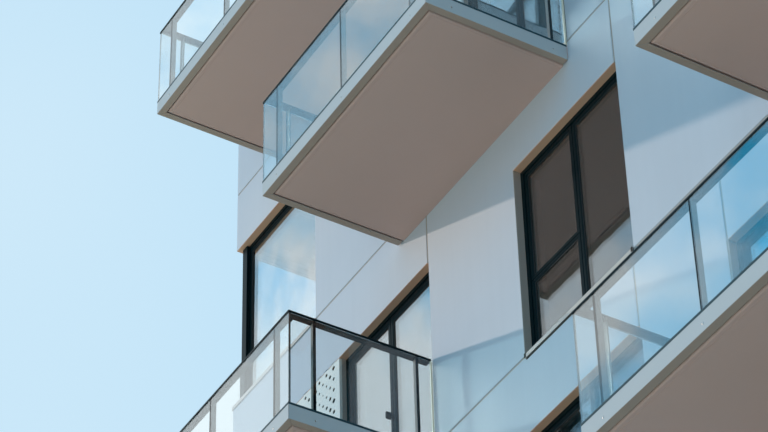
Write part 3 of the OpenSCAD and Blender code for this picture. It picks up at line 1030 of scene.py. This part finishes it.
@dataclass
class WindowWork:
    """Frames, sashes, gaskets, spacers and double glass of the windows and doors, and the doors' pulls.

    A pull's place is its distance from the middle and its height. A cap's and a dark strip's places are
    ranges of depth and of height, from the wall's face and the storey's floor.
    """

    wall: Wall = WALLS[0]
    back: float = 0.08
    deep: float = 0.07
    sill: float = 0.004
    window_face: float = 0.105
    door_face: float = 0.130
    post_face: float = 0.045
    post_rim: float = 0.012
    post_back: float = 0.05
    mullion: float = 0.108
    transom: float = 0.095
    transom_z: float = 0.84
    rim: float = 0.046
    gap: float = 0.005
    sheet: float = 0.0045
    glass_front: float = 0.021
    glass_back: float = 0.049
    spacer: float = 0.016
    gasket_out: float = 0.003
    gasket_in: float = 0.007
    pull_at: Pair = (0.062, 0.955)
    pull_half: Pair = (0.012, 0.038)
    pull_out: float = 0.040
    cap_half: float = 0.011
    cap_in: float = 0.012
    cap_depth: Pair = (-0.016, 0.004)
    cap_height: Pair = (-0.034, 0.012)
    dark_strip_in: float = 0.02
    dark_strip_depth: Pair = (-0.004, 0.004)
    dark_strip_height: Pair = (-0.060, -0.0402)
    rim_profile: tuple[Pair, ...] = ((0, 0), (0.92, 0), (1, 0.004), (1, 0.07), (0, 0.07))
    sash_profile: tuple[Pair, ...] = (
        (0, 0.011), (0.06, 0.007), (0.66, 0.007), (0.72, 0.010), (0.86, 0.010), (1, 0.016),
        (1, 0.054), (0.86, 0.062), (-0.11, 0.062), (-0.11, 0.03), (0, 0.03),
    )
    gasket_profile: tuple[Pair, ...] = ((0, 0.012), (0.5, 0.012), (1, 0.019), (1, 0.021), (0, 0.021))

    def leaves(self, floor: float, opening: Opening) -> tuple[list[Array], ...]:
        """Sides of an opening's fixed frame, of its sashes and of their glass.

        A corner opening has one leaf, and its post stands apart. The others have two leaves, and a bar
        divides a window's left one.

        Args:
            floor: height of the storey's floor.
            opening: the opening.

        Returns:
            Rows of left, low, right and high: the frame's outer and inner edges, the sashes' outer edges,
            and the glass.
        """
        left, right, kind = opening.left, opening.right, opening.kind
        rims = np.full(4, self.rim)
        faces = np.full(4, self.door_face if kind is Kind.DOOR else self.window_face)
        if kind is Kind.CORNER:
            post, side = self.back + self.deep, 0 if left == 0 else 2
            left, right = (left, self.wall.length - post) if side else (post, right)
            rims[side], faces[side] = self.post_rim, self.post_face
        whole = np.array([left, floor + self.sill, right, floor + BLOCK.head])
        within, sash, pane = (whole + INWARD * width for width in (rims, rims + self.gap, faces))
        found = []
        for rect, upright, bar in ((sash, self.gap, self.gap), (pane, self.mullion, self.transom)):
            rects = [rect] if kind is Kind.CORNER else halves(rect, 0, (left + right) / 2, upright)
            if kind is Kind.WINDOW:
                rects[:1] = halves(rects[0], 1, floor + self.transom_z, bar)
            found.append(rects)
        return [whole], [within], *found

    def pulls(self) -> Part:
        """The doors' pulls: a block on the leaf that opens, beside the middle.

        Returns:
            The points and faces of the pulls.
        """
        (beside, height), (across, up) = self.pull_at, self.pull_half
        spans = []
        for floor, o in self.wall.openings(Kind.DOOR):
            x, z = (o.left + o.right) / 2 + (beside if o.turned() else -beside), floor + height
            front, back = self.back - self.pull_out, self.back + across
            spans.append((x - across, front, z - up, x + across, back, z + up))
        return boxes(spans, chamfer=0.002)

    def corner_posts(self) -> Part:
        """The casings of the wall's corner posts, which stand nearer the faces than the frames do.

        Returns:
            The points and faces of the casings.
        """
        near, far = self.post_back, self.back + self.deep
        spans = []
        for floor, o in self.wall.openings(Kind.CORNER):
            left, right = (near, far) if o.left == 0 else (self.wall.length - far, self.wall.length - near)
            spans.append((left, near, floor + self.sill, right, far, floor + BLOCK.head))
        return boxes(spans, chamfer=0.003)

    def end_caps(self) -> Part:
        """Dark caps on the ends of the windows' sills.

        Returns:
            The points and faces of the caps.
        """
        (front, back), (low, high), half = self.cap_depth, self.cap_height, self.cap_half
        spans = [
            (x - half, front, floor + low, x + half, back, floor + high)
            for floor, o in self.wall.openings(Kind.WINDOW)
            for x in (o.left + self.cap_in, o.right - self.cap_in)
        ]
        return boxes(spans, chamfer=0.003)

    def dark_strips(self) -> Part:
        """Dark strips under the windows' sills, which make the band under each sill dark.

        Returns:
            The points and faces of the seals.
        """
        (front, back), (low, high), inset = self.dark_strip_depth, self.dark_strip_height, self.dark_strip_in
        spans = [
            (o.left + inset, front, floor + low, o.right - inset, back, floor + high)
            for floor, o in self.wall.openings(Kind.WINDOW)
        ]
        return boxes(spans)

    def build_wall(self) -> None:
        """Builds the windows and doors of its wall."""
        found = zip(*(self.leaves(floor, o) for floor, o in self.wall.openings(*Kind)))
        rims, inner_rims, sashes, glass = (np.concatenate(rows) for rows in found)
        set_back = (0, self.back, 0)
        frame = Shell(f"{self.wall.name}_window_frames")
        frame.add(rectangle_rings(rims, inner_rims, self.rim_profile), self.wall, set_back)
        frame.add(rectangle_rings(sashes, glass, self.sash_profile), self.wall, set_back)
        if self.wall in LONG_WALLS:
            frame.add(self.pulls(), self.wall)
        frame.build("frame_metal", Palette.frame, node=f"{self.wall.name}_frames")
        gaskets = Shell(f"{self.wall.name}_glazing_gaskets")
        outer, inner = glass - INWARD * self.gasket_out, glass + INWARD * self.gasket_in
        gaskets.add(rectangle_rings(outer, inner, self.gasket_profile), self.wall, set_back)
        gaskets.build("shoe_rubber", Palette.rubber)
        spacers = Shell(f"{self.wall.name}_glazing_spacers")
        near, far = self.glass_front + self.sheet, self.glass_back - self.sheet
        profile = ((0, near), (1, near), (1, far), (0, far))
        spacers.add(rectangle_rings(glass, glass + INWARD * self.spacer, profile), self.wall, set_back)
        spacers.build("sill_metal", Palette.spacer)
        panes = Shell(f"{self.wall.name}_window_panes")
        for y in (self.glass_front, far):
            spans = np.insert(glass, (1, 3), (y, y + self.sheet), axis=1)
            panes.add(boxes(spans, chamfer=0.0008), self.wall, set_back)
        finishes = (Palette.window_glass, Palette.door_glass)
        panes.build("window_glass", *finishes, node=f"{self.wall.name}_panes", pick=door_panes)

    def build(self) -> None:
        """Builds the windows and doors of every wall."""
        posts, caps, dark_strips = Shell("corner_post_casings"), Shell("sill_end_caps"), Shell("sill_dark_strips")
        for wall in WALLS:
            work = replace(self, wall=wall)
            work.build_wall()
            caps.add(work.end_caps(), wall)
            dark_strips.add(work.dark_strips(), wall)
            if wall in LONG_WALLS:
                posts.add(work.corner_posts(), wall)
        posts.build("frame_metal", Palette.frame, node="corner_posts")
        caps.build("frame_metal", Palette.rubber)
        dark_strips.build("shoe_rubber", Palette.dark_strip)


@dataclass
class CoverWork:
    """The perforated covers beside the doors: trays whose round holes change in size in soft waves.

    The first hole's place is measured from the right edge and the top, and so are the waves' crests.
    """

    width: float = BLOCK.cover
    height: float = BLOCK.head - 2 * BLOCK.cover_gap
    deep: float = 0.03
    sheet: float = 0.004
    pitch: Pair = (0.071, 0.1357)
    first: Pair = (0.1155, 0.0475)
    columns: int = 10
    rows: int = 16
    rim: float = 0.4
    radius: float = 0.0188
    wave: float = 0.0042
    wave_length: Pair = (0.42, 0.46)
    crest: Pair = (0.33, 0.25)
    # Depth of the dark sheet behind the holes, which paints the shade of the recess
    painted_shade_sheet: Pair = (0.022, 0.024)

    def holes(self) -> tuple[Array, Array]:
        """Centres of the holes in a cover's x and z, and their radii.

        Every other column is half a pitch lower. The radius is the mean one less two waves, one along the
        cover and one up it, whose crests meet beside the top.

        Returns:
            The centres and the radii.
        """
        corner, pitch = np.array([self.width, self.height]), np.array(self.pitch)
        i, k = np.indices((self.columns, self.rows))
        centres = corner - self.first - np.stack([i, k + (i % 2) / 2], -1) * pitch
        centres = centres[centres[..., 1] > pitch[1] / 2 + self.sheet]
        waves = np.cos(2 * np.pi * (centres - corner + self.crest) / self.wave_length)
        return centres, self.radius - self.wave * waves.sum(1)

    def pierced(self) -> Part:
        """The sheet round each hole, as a cell with its hole, and the hole's wall.

        The cell's edge and the hole's rim have twelve points each, at the same order round the centre. The
        rings of a cell are its edge, the hole's rim in front and its rim behind.

        Returns:
            The points and faces of all the cells.
        """
        centres, radii = self.holes()
        a, b = self.pitch[0] / 2, self.pitch[1] / 2
        half = np.array([(a, 0), (a, self.rim * a), (a, b), (0, b), (-a, b), (-a, self.rim * a)])
        edge = np.concatenate([half, -half])
        hole = edge / np.linalg.norm(edge, axis=1, keepdims=True) * radii[:, None, None]
        flat = centres[:, None, None] + np.stack([np.broadcast_to(edge, hole.shape), hole, hole], 1)
        points = np.insert(flat, 1, 0.0, axis=-1)
        points[:, 2, :, 1] = self.sheet
        return points, [joined(*points.shape[:3])]

    def margins(self) -> list[tuple[float, ...]]:
        """What the cells leave of the sheet: both side strips, and the ends of every column.

        Returns:
            The low and the high corner of each strip.
        """
        t, height, (a, b) = self.sheet, self.height, np.array(self.pitch) / 2
        x, z = self.holes()[0].T
        spans = [(0, 0, 0, x.min() - a, t, height), (x.max() + a, 0, 0, self.width, t, height)]
        for column in np.unique(x.round(6)):
            here = z[abs(x - column) < SLACK]
            left, right, low, high = column - a, column + a, here.min() - b, here.max() + b
            spans.append((left, 0, 0, right, t, low))
            if height - high > SLACK:
                spans.append((left, 0, high, right, t, height))
        return spans

    def build(self) -> None:
        """Builds the covers of both long walls, and the dark sheets behind their holes, which paint the
        shade of the recess behind them.
        """
        t, w, h, d = self.sheet, self.width, self.height, self.deep
        upright = ((0, t, 0, t, d, h), (w - t, t, 0, w, d, h))
        folds = (*upright, (t, t, 0, w - t, d, t), (t, t, h - t, w - t, d, h))
        tray = (self.pierced(), boxes(self.margins(), chamfer=0.00002), boxes(folds, chamfer=0.0005))
        front, back = self.painted_shade_sheet
        # A dark sheet behind the holes: painted shade for the recess behind the cover
        sheet = boxes([(t, front, t, w - t, back, h - t)], chamfer=0.0002)
        for wall in LONG_WALLS:
            sheets, painted_shade_sheets = Shell(f"{wall.name}_perforated_sheets"), Shell(f"{wall.name}_cover_backings")
            for floor, o in wall.openings(Kind.DOOR):
                move = (o.cover, 0, floor + BLOCK.cover_gap)
                for part in tray:
                    sheets.add(part, wall, move)
                painted_shade_sheets.add(sheet, wall, move)
            node = "perforated_covers" if wall is LONG_WALLS[0] else ""
            sheets.build("cover_metal", Palette.cover, node=node, closed=False)
            painted_shade_sheets.build("shoe_rubber", Palette.painted_shade_sheet)


@dataclass
class BalconyWork:
    """The balconies: soffit, folded trim with its bolts, glass and its shoe, posts and top rail.

    Places are distances from the balcony's left end, from the wall's face and from the storey's floor. A tip
    is the distance from a side bar's wall end and the outline's size there, station by station.
    """

    out: float = BLOCK.out
    step: float = 0.088
    trim_h: float = 0.162
    trim_t: float = 0.005
    trim_in: float = 0.003
    fold: float = 0.004
    lips: Pair = (0.076, 0.078)
    shadow_gap: float = 0.012
    slab_drop: float = 0.003
    slab_edge: tuple[Pair, ...] = ((0.020, 0.0), (0.009, 0.004), (0.002, 0.012), (0.0, 0.022))
    slab_line: tuple[Pair, ...] = ((0.002, 0.0), (0.0, 0.003), (-0.002, 0.0))
    line_in: Pair = (0.030, 0.051)
    recess: float = 0.030
    wall_gap: float = 0.010
    mitre: float = 0.002
    rail_z: float = 0.985
    rail_h: float = 0.024
    rail_w: float = 0.100
    rail_tip: tuple[Pair, ...] = ((0.006, 1.0), (0.002, 0.97), (0.0, 0.92))
    strip: Pair = (0.048, 0.090)
    strip_height: Pair = (-0.003, 0.001)
    strip_tip: tuple[Pair, ...] = ((0.012, 1.0),)
    glass_t: float = 0.017
    glass_set: float = 0.006
    glass_gap: float = 0.008
    glass_play: float = 0.0005
    seal_more: float = 0.003
    seal_depth: Pair = (-0.020, -0.0005)
    shoe_h: float = 0.025
    shoe_w: float = 0.036
    shoe_in: float = 0.001
    post_t: float = 0.012
    post_reach: float = 0.082
    post_play: float = 0.0002
    post_lap: float = 0.002
    post_corner: float = 0.280
    post_wall: float = 0.160
    foot_half: float = 0.04
    foot_more: float = 0.012
    foot_t: float = 0.008
    flange_w: float = 0.030
    flange_t: float = 0.005
    bolt_z: float = -0.182
    bolt_r: float = 0.010
    bolt_rings: tuple[Pair, ...] = ((1.0, 0.004), (1.0, 0.0016), (0.6, 0.0004))

    def bars(
        self, outline: Array, slope: float = 1.0, tip: Sequence[Pair] = ((0.0, 1.0),)
    ) -> list[Part]:
        """An outline carried along a balcony's three open sides, mitred at the corners.

        Outline point (u, z) lies u behind the outer face. At a corner the front bar's point moves along the
        wall by u times the slope, and the side bar's by u over the slope. At the wall each side bar ends in
        stations that are drawn in towards the outline's middle.

        Args:
            outline: (p, 2) distance behind the face, and height above the floor.
            slope: side lip's width over front lip's width.
            tip: distance from the wall end and size of the outline, station by station.

        Returns:
            The front bar, the left one and the right one.
        """
        u, z = outline.T
        width = BLOCK.balcony
        left, right = u * slope + self.mitre, width - u * slope - self.mitre
        middle = (outline.min(0) + outline.max(0)) / 2
        stations = [np.stack([u, u / slope + self.mitre - self.out, z], -1)]
        for back, size in tip:
            x, height = (middle + (outline - middle) * size).T
            stations.append(np.stack([x, np.full(len(u), -self.wall_gap - back), height], -1))
        side = np.stack(stations)
        front = [np.stack([x, u - self.out, z], -1) for x in (left, right)]
        return [lofted(front), lofted(side), lofted(side * (-1, 1, 1) + (width, 0, 0))]

    def at_posts(self, part: Part) -> list[Part]:
        """A part drawn for a post with its glass towards -Y, at each post of a balcony.

        Args:
            part: the part's points and faces.

        Returns:
            The part at each post.
        """
        width, corner = BLOCK.balcony, self.post_corner
        places = [(x, -self.out, 0) for x in (corner, width / 2, width - corner)]
        for x, turn in ((0, -90), (width, 90)):
            places += [(x, corner - self.out, turn), (x, -self.post_wall, turn)]
        points, faces = part
        return [(turned(points, turn) + (x, y, 0), faces) for x, y, turn in places]

    def both(self, near: float, far: float) -> tuple[Pair, Pair]:
        """A range of distance from a side's outer face, at the left side and at the right."""
        return (near, far), (BLOCK.balcony - far, BLOCK.balcony - near)

    def glass_height(self) -> Pair:
        """Top of the shoe and underside of the rail, which the glass stands between."""
        return self.shoe_h - self.step, self.rail_z - self.rail_h

    def soffit(self) -> list[Part]:
        """The slab: its lower part is narrower, with a rounded lower edge and a fine line inside that.

        Returns:
            The slab's points and faces.
        """
        side, front = (lip + self.shadow_gap for lip in self.lips)
        low, seat = -self.step - self.trim_h - self.slab_drop, -self.step - self.trim_h + self.recess
        body = self.trim_t + self.trim_in
        line_side, line_front = self.line_in
        levels = np.array([
            *((side + line_side + u, front + line_front + u, low + z) for u, z in self.slab_line),
            *((side + u, front + u, low + z) for u, z in self.slab_edge),
            (side, front, seat), (body, body, seat), (body, body, -self.step),
        ])
        s, f, z = levels.T
        right, front = BLOCK.balcony - s, f - self.out
        ring = ((s, front), (right, front), (right, 0 * s), (s, 0 * s))
        return [lofted(np.stack([np.stack([x, y, z], -1) for x, y in ring], 1))]

    def trim(self) -> list[Part]:
        """The folded sheets: an upright face and a turned-in lower lip, with a rounded fold between them.

        Returns:
            The lengths of sheet, in front and at both sides.
        """
        top, low, face, t, fold = -self.step, -self.step - self.trim_h, self.trim_in, self.trim_t, self.fold
        bend, (side, front) = 0.3 * fold, self.lips
        found = []
        for lip in (front, side):
            outline = np.array([
                (face, top), (face, low + fold), (face + bend, low + bend), (face + fold, low),
                (lip, low), (lip, low + t), (face + t, low + t), (face + t, top),
            ])
            found.append(self.bars(outline, side / front))
        return [found[0][0], *found[1][1:]]

    def bolt(self) -> list[Part]:
        """A low domed bolt head on the trim in front of each post.

        Returns:
            The bolt heads at all posts.
        """
        turn = np.arange(12) * np.pi / 6
        x, y, z = np.cos(turn) * self.bolt_r, np.ones(12), np.sin(turn) * self.bolt_r
        rings = [np.stack([x * r, y * depth, z * r + self.bolt_z], -1) for r, depth in self.bolt_rings]
        return self.at_posts(lofted(rings))

    def shoe(self) -> list[Part]:
        """The strip that the glass stands in."""
        low, high = -self.step, self.shoe_h - self.step
        return self.bars(rounded(self.shoe_in, low, self.shoe_w, high, radius=0.003, steps=2))

    def rail(self) -> list[Part]:
        """The top rail, with a small radius at its edges and a rounded end at the wall.

        Returns:
            The lengths of rail.
        """
        low, high = self.rail_z - self.rail_h, self.rail_z
        outline = rounded(0.0, low, self.rail_w, high, radius=0.004, steps=3)
        return self.bars(outline, tip=self.rail_tip)

    def rail_strip(self) -> list[Part]:
        """The dark strip under the rail, inside the glass.

        Returns:
            The lengths of strip.
        """
        low, high = (self.rail_z - self.rail_h + z for z in self.strip_height)
        near, far = self.strip
        outline = np.array([(near, low), (near, high), (far, high), (far, low)])
        return self.bars(outline, tip=self.strip_tip)

    def flange(self) -> list[Part]:
        """The posts' flanges against the glass.

        Returns:
            The flanges at all posts.
        """
        inner, half = self.glass_set + self.glass_t, self.flange_w / 2
        low, high = self.glass_height()
        span = (-half, inner, low, half, inner + self.flange_t, high - self.post_play)
        return self.at_posts(boxes([span], chamfer=0.001))

    def blade(self) -> list[Part]:
        """The posts' blades, with their feet on the slab.

        Returns:
            The blades and feet at all posts.
        """
        lap, half = self.post_lap, self.post_t / 2
        inner = self.glass_set + self.glass_t + self.flange_t - lap / 2
        low, (shoe, high) = -self.step, self.glass_height()
        reach, foot, start = self.post_reach, self.foot_half, self.shoe_w
        spans = [
            (-half, inner, shoe, half, reach, high - self.post_play),
            (-half, start, low, half, reach, shoe + lap),
            (-foot, start + lap, low, foot, reach + self.foot_more, low + self.foot_t),
        ]
        return self.at_posts(boxes(spans))

    def wall_seal(self) -> list[Part]:
        """The seals that close the side sheets' gap to the wall, coloured a bright cream that paints the
        sunlight falling on the wall through that gap.

        Returns:
            Both seals.
        """
        (low, high), (front, back) = self.glass_height(), self.seal_depth
        near, far = self.glass_set - self.seal_more, self.glass_set + self.glass_t + self.seal_more
        return [boxes([(a, front, low, b, back, high) for a, b in self.both(near, far)], chamfer=0.001)]

    def glass(self) -> list[Part]:
        """The two sheets of glass in front.

        Returns:
            Both sheets.
        """
        near, far = self.glass_set, self.glass_set + self.glass_t
        middle, slit = BLOCK.balcony / 2, self.glass_gap / 2
        return [self.upright_sheets(self.both(near, middle - slit), near - self.out, far - self.out)]

    def side_glass(self) -> list[Part]:
        """The sheets of glass at the sides."""
        near, far = self.glass_set, self.glass_set + self.glass_t
        return [self.upright_sheets(self.both(near, far), far + self.mitre - self.out, -self.wall_gap)]

    def upright_sheets(self, ends: Sequence[Pair], front: float, back: float) -> Part:
        """Sheets of glass that fill the height between the shoe and the rail.

        Args:
            ends: left and right end of each sheet.
            front: their depth in front.
            back: their depth behind.

        Returns:
            The part in the balcony's frame.
        """
        low, high = self.glass_height()
        low, high = low + self.glass_play, high - self.glass_play
        return boxes([(a, front, low, b, back, high) for a, b in ends], chamfer=0.001)

    def build(self) -> None:
        """Builds the balconies of both long walls, one piece for each kind of part."""
        plan = (
            # The soffits' warm brown is painted bounce light from below
            (BalconyWork.soffit, "soffits", "balcony_concrete", [Palette.soffit], "balcony_slabs"),
            (BalconyWork.trim, "edge_trims", "trim_metal", [Palette.trim, Palette.lip], "balcony_trims"),
            (BalconyWork.bolt, "trim_bolts", "post_metal", [Palette.bolt], ""),
            (BalconyWork.shoe, "glazing_shoes", "shoe_rubber", [Palette.shoe], "glass_shoes"),
            (
                BalconyWork.glass, "balustrade_glass", "balcony_glass", [Palette.balcony_glass],
                "balcony_glass",
            ),
            (BalconyWork.side_glass, "side_glass", "balcony_glass", [Palette.side_glass], ""),
            # Seals whose bright cream paints sunlight through the gap at the wall
            (BalconyWork.wall_seal, "wall_seals", "shoe_rubber", [Palette.seal_with_painted_sunlight], ""),
            (BalconyWork.flange, "post_flanges", "post_metal", [Palette.rail], "balcony_posts"),
            (BalconyWork.blade, "post_blades", "post_metal", [Palette.post], ""),
            (BalconyWork.rail, "handrails", "rail_metal", [Palette.rail], "top_rails"),
            (BalconyWork.rail_strip, "handrail_strips", "post_metal", [Palette.strip], ""),
        )
        sized = {out: replace(self, out=out) for out in (BLOCK.out, BLOCK.out_small)}
        for wall, (make, name, slot, finishes, node) in product(LONG_WALLS, plan):
            shell = Shell(f"{wall.name}_{name}")
            for left, floor, out in wall.balconies():
                for part in make(sized[out]):
                    shell.add(part, wall, (left, 0, floor))
            # The trims' downward faces get the finish that paints warm bounce light
            pick = faces_down if len(finishes) > 1 else None
            shell.build(slot, *finishes, node=node and f"{wall.name}_{node}", pick=pick)


@dataclass
class CopingWork:
    """The metal cap on the roof's edge: folded lengths with open butt joints over sleeves."""

    sheet: float = 0.005
    drop: float = 0.07
    gap: float = 0.015
    butt: float = 0.008
    length: float = 3.0
    sleeve: float = 0.12
    sleeve_in: float = 0.002
    corner: float = 0.001

    def outline(self, inset: float) -> Array:
        """The folded sheet across the wall, as distance behind its outer face and height.

        Args:
            inset: how far the sheet's outer face lies inside the full outline.

        Returns:
            The outline's corners, round the sheet.
        """
        width = BLOCK.wall + 2 * (self.gap + self.sheet)
        top = BLOCK.roof() + BLOCK.parapet + self.sheet
        low, t, i = top - self.sheet - self.drop, self.sheet, inset
        return np.array([
            (i, low), (i, top - i), (width - i, top - i), (width - i, low),
            (width - t, low), (width - t, top - t), (t, top - t), (t, low),
        ])

    def stretch(self, left: Array | float, right: Array | float, inset: float) -> Part:
        """The folded sheet from one place along the wall to another.

        Args:
            left: where it starts, as one place or one for each point of its outline.
            right: where it ends.
            inset: what its outer side is drawn in by, where it lies under the cap.

        Returns:
            The part in the wall's frame.
        """
        u, z = self.outline(inset).T
        outer = self.gap + self.sheet
        return lofted([np.stack([x + 0 * u - outer, u - outer, z], -1) for x in (left, right)])

    def build(self) -> None:
        """Builds the cap's lengths round the roof, and the sleeves under their joints."""
        cap, sleeves = Shell("coping_lengths"), Shell("coping_sleeves")
        mitre = self.outline(0.0)[:, 0] + self.corner
        butt, half = self.butt / 2, self.sleeve / 2
        for wall in WALLS:
            whole = wall.length + 2 * (self.gap + self.sheet)
            ends = np.linspace(0, whole, round(whole / self.length) + 1)
            for left, right in zip(ends[:-1], ends[1:]):
                start = left + (butt if left else mitre)
                stop = right - (butt if right < ends[-1] else mitre)
                cap.add(self.stretch(start, stop, 0.0), wall)
            for x in ends[1:-1]:
                sleeves.add(self.stretch(x - half, x + half, self.sleeve_in), wall)
        cap.build("coping_metal", Palette.coping, node="coping")
        sleeves.build("coping_metal", Palette.spacer)


# Light and camera


@dataclass(frozen=True)
class Studio:
    """The plain floor, the soft light and the camera.

    Pairs of colours go with a rising value. The veil, the clouds' edge, the dusk at the side and the fills
    each rise from 0 to 1 from a low value and over a width. The cloud bank in the west has a third number,
    what it adds to the clouds. The axes of the camera were measured in the photograph.
    """

    floor_reach: float = 900.0
    floor_colour: Colour = (0.755, 0.69, 0.53)
    behind: tuple[Colour, Colour] = ((0.50, 0.75, 0.93), (0.62, 0.82, 0.955))
    veil_scale: Colour = (3.0, 3.0, 3.0)
    veil_detail: float = 2.0
    veil_edge: Pair = (0.3, 0.4)
    mirrored: tuple[Colour, Colour] = ((0.06, 0.51, 0.86), (0.92, 0.98, 1.0))
    cloud_scale: Colour = (14.281, 14.7, 22.145)
    cloud_start: Colour = (-32.469, 50.06, 28.942)
    cloud_detail: float = 7.0
    cloud_edge: Pair = (0.38, 0.27)
    cloud_bank: tuple[float, float, float] = (0.56, 0.14, 0.135)
    dusk: Colour = (0.05, 0.16, 0.20)
    dusk_edge: Pair = (0.1, 0.3)
    mirrored_above: float = 0.45
    fill: tuple[Colour, Colour] = ((0.72, 0.67, 0.66), (0.11, 0.60, 1.0))
    fill_edge: Pair = (0.0, 0.5)
    back_fill: Colour = (0.50, 0.60, 0.70)
    back_edge: Pair = (0.0, 0.2)
    key_heading: float = -75.0
    key_height: float = 23.35
    key_strength: float = 2.75
    key_spread: float = 1.3
    key_colour: Colour = (1.0, 0.835, 0.72)
    place: Colour = (13.463, -18.023, 2.398)
    right: Colour = (0.50922224, 0.86038372, -0.02079807)
    down: Colour = (-0.56884187, 0.31834046, -0.75833916)
    ahead: Colour = (-0.6458418, 0.39799398, 0.65152833)
    focal_px: float = 2938.956
    image_px: float = 768.0
    sensor: float = 36.0
    clip: Pair = (0.1, 3000.0)

    def floor(self) -> None:
        """A pale floor far past the block."""
        r = self.floor_reach
        mesh = bpy.data.meshes.new("floor")
        mesh.from_pydata([(-r, -r, 0), (r, -r, 0), (r, r, 0), (-r, r, 0)], [], [(0, 1, 2, 3)])
        floor = bpy.data.objects.new("floor", mesh)
        bpy.context.scene.collection.objects.link(floor)
        mesh.materials.append(Cast("floor", self.floor_colour, 0.9, 0.0, streaks=0.0).material())

    def sky(self, sheet: Sheet, heading: Socket) -> Socket:
        """The sky that the glass mirrors: drifting clouds, thicker in the west and dark towards +X.

        Args:
            sheet: the sheet of the world's nodes.
            heading: the direction of the ray.

        Returns:
            The mirrored colour.
        """
        x = sheet.add("SeparateXYZ", {0: heading}).outputs[0]
        west, reach, rise = self.cloud_bank
        bank = sheet.ramp(sheet.math("MULTIPLY", x, -1.0), west, reach)
        clouds = sheet.noise(heading, self.cloud_scale, self.cloud_detail, self.cloud_start)
        clouds = sheet.math("MULTIPLY_ADD", bank, rise, clouds)
        drawn = sheet.blend(sheet.ramp(clouds, *self.cloud_edge), *self.mirrored)
        return sheet.blend(sheet.ramp(x, *self.dusk_edge), drawn, self.dusk)

    def world(self) -> None:
        """An even fill for light, and a pale sky behind the block and a cloudy one in its glass.

        A ray that was mirrored on the far face of a sheet counts as a transmitted one. It is told from one
        that went straight through by its heading: up, and to the right of or in front of the block.
        """
        world = bpy.data.worlds.new("studio")
        bpy.context.scene.world = world
        world.use_nodes = True
        sheet = Sheet(world.node_tree)
        heading = sheet.add("TexCoord").outputs["Generated"]
        x, y, z = sheet.add("SeparateXYZ", {0: heading}).outputs
        ray = sheet.add("LightPath").outputs
        glossy, transmitted = ray["Is Glossy Ray"], ray["Is Transmission Ray"]
        veil = sheet.noise(heading, self.veil_scale, self.veil_detail)
        pale = sheet.blend(sheet.ramp(veil, *self.veil_edge), *self.behind)
        ahead = sheet.math("MAXIMUM", sheet.math("GREATER_THAN", x, 0.0), sheet.math("LESS_THAN", y, 0.0))
        ahead = sheet.math("MULTIPLY", ahead, sheet.math("GREATER_THAN", z, self.mirrored_above))
        mirror = sheet.math("MAXIMUM", glossy, sheet.math("MULTIPLY", ahead, transmitted))
        seen = sheet.math("MAXIMUM", ray["Is Camera Ray"], sheet.math("MAXIMUM", glossy, transmitted))
        tint = sheet.blend(sheet.ramp(z, *self.fill_edge), *self.fill)
        tint = sheet.blend(sheet.ramp(y, *self.back_edge), tint, self.back_fill)
        tone = sheet.blend(mirror, pale, self.sky(sheet, heading))
        fill, sky = (sheet.add("Background", {"Color": colour}).outputs[0] for colour in (tint, tone))
        mix = sheet.add("MixShader", {0: seen, 1: fill, 2: sky}).outputs[0]
        sheet.add("OutputWorld", {"Surface": mix})

    def key(self) -> None:
        """The sun, by its heading from -Y towards +X and its height over the horizon in degrees.

        It isn't seen through the glass, where the panes' edges would bend it into white lines.
        """
        data = bpy.data.lights.new("key", "SUN")
        data.color, data.energy = self.key_colour, self.key_strength
        data.angle = math.radians(self.key_spread)
        lamp = bpy.data.objects.new("key", data)
        lamp.visible_transmission = False
        bpy.context.scene.collection.objects.link(lamp)
        a, e = math.radians(self.key_heading), math.radians(self.key_height)
        toward = np.array([math.sin(a) * math.cos(e), -math.cos(a) * math.cos(e), math.sin(e)])
        side = np.cross((0, 0, 1), toward)
        side /= np.linalg.norm(side)
        axes = np.stack([side, np.cross(toward, side), toward]).T
        lamp.matrix_world = Matrix(axes.tolist()).to_4x4()

    def camera(self) -> None:
        """The camera at the photograph's place, from its measured axes."""
        data = bpy.data.cameras.new("camera")
        data.sensor_fit, data.sensor_width = "HORIZONTAL", self.sensor
        data.lens = self.focal_px / self.image_px * self.sensor
        data.clip_start, data.clip_end = self.clip
        camera = bpy.data.objects.new("camera", data)
        bpy.context.scene.collection.objects.link(camera)
        axes = np.stack([self.right, -np.array(self.down), -np.array(self.ahead)]).T
        camera.matrix_world = Matrix.Translation(self.place) @ Matrix(axes.tolist()).to_4x4()
        bpy.context.scene.camera = camera

    def build(self) -> None:
        """Makes the camera, the light and the floor."""
        self.camera()
        self.world()
        self.key()
        self.floor()
        bpy.context.scene.view_settings.view_transform = "Standard"


def main() -> None:
    """Dresses the block, and builds its own pieces and the studio, in order."""
    logging.basicConfig(level=logging.INFO, format="%(message)s")
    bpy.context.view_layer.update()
    Studio().build()
    CadFinishes().dress()
    PanelWork().build()
    WindowWork().build()
    CoverWork().build()
    BalconyWork().build()
    CopingWork().build()


if __name__ == "__main__":
    main()
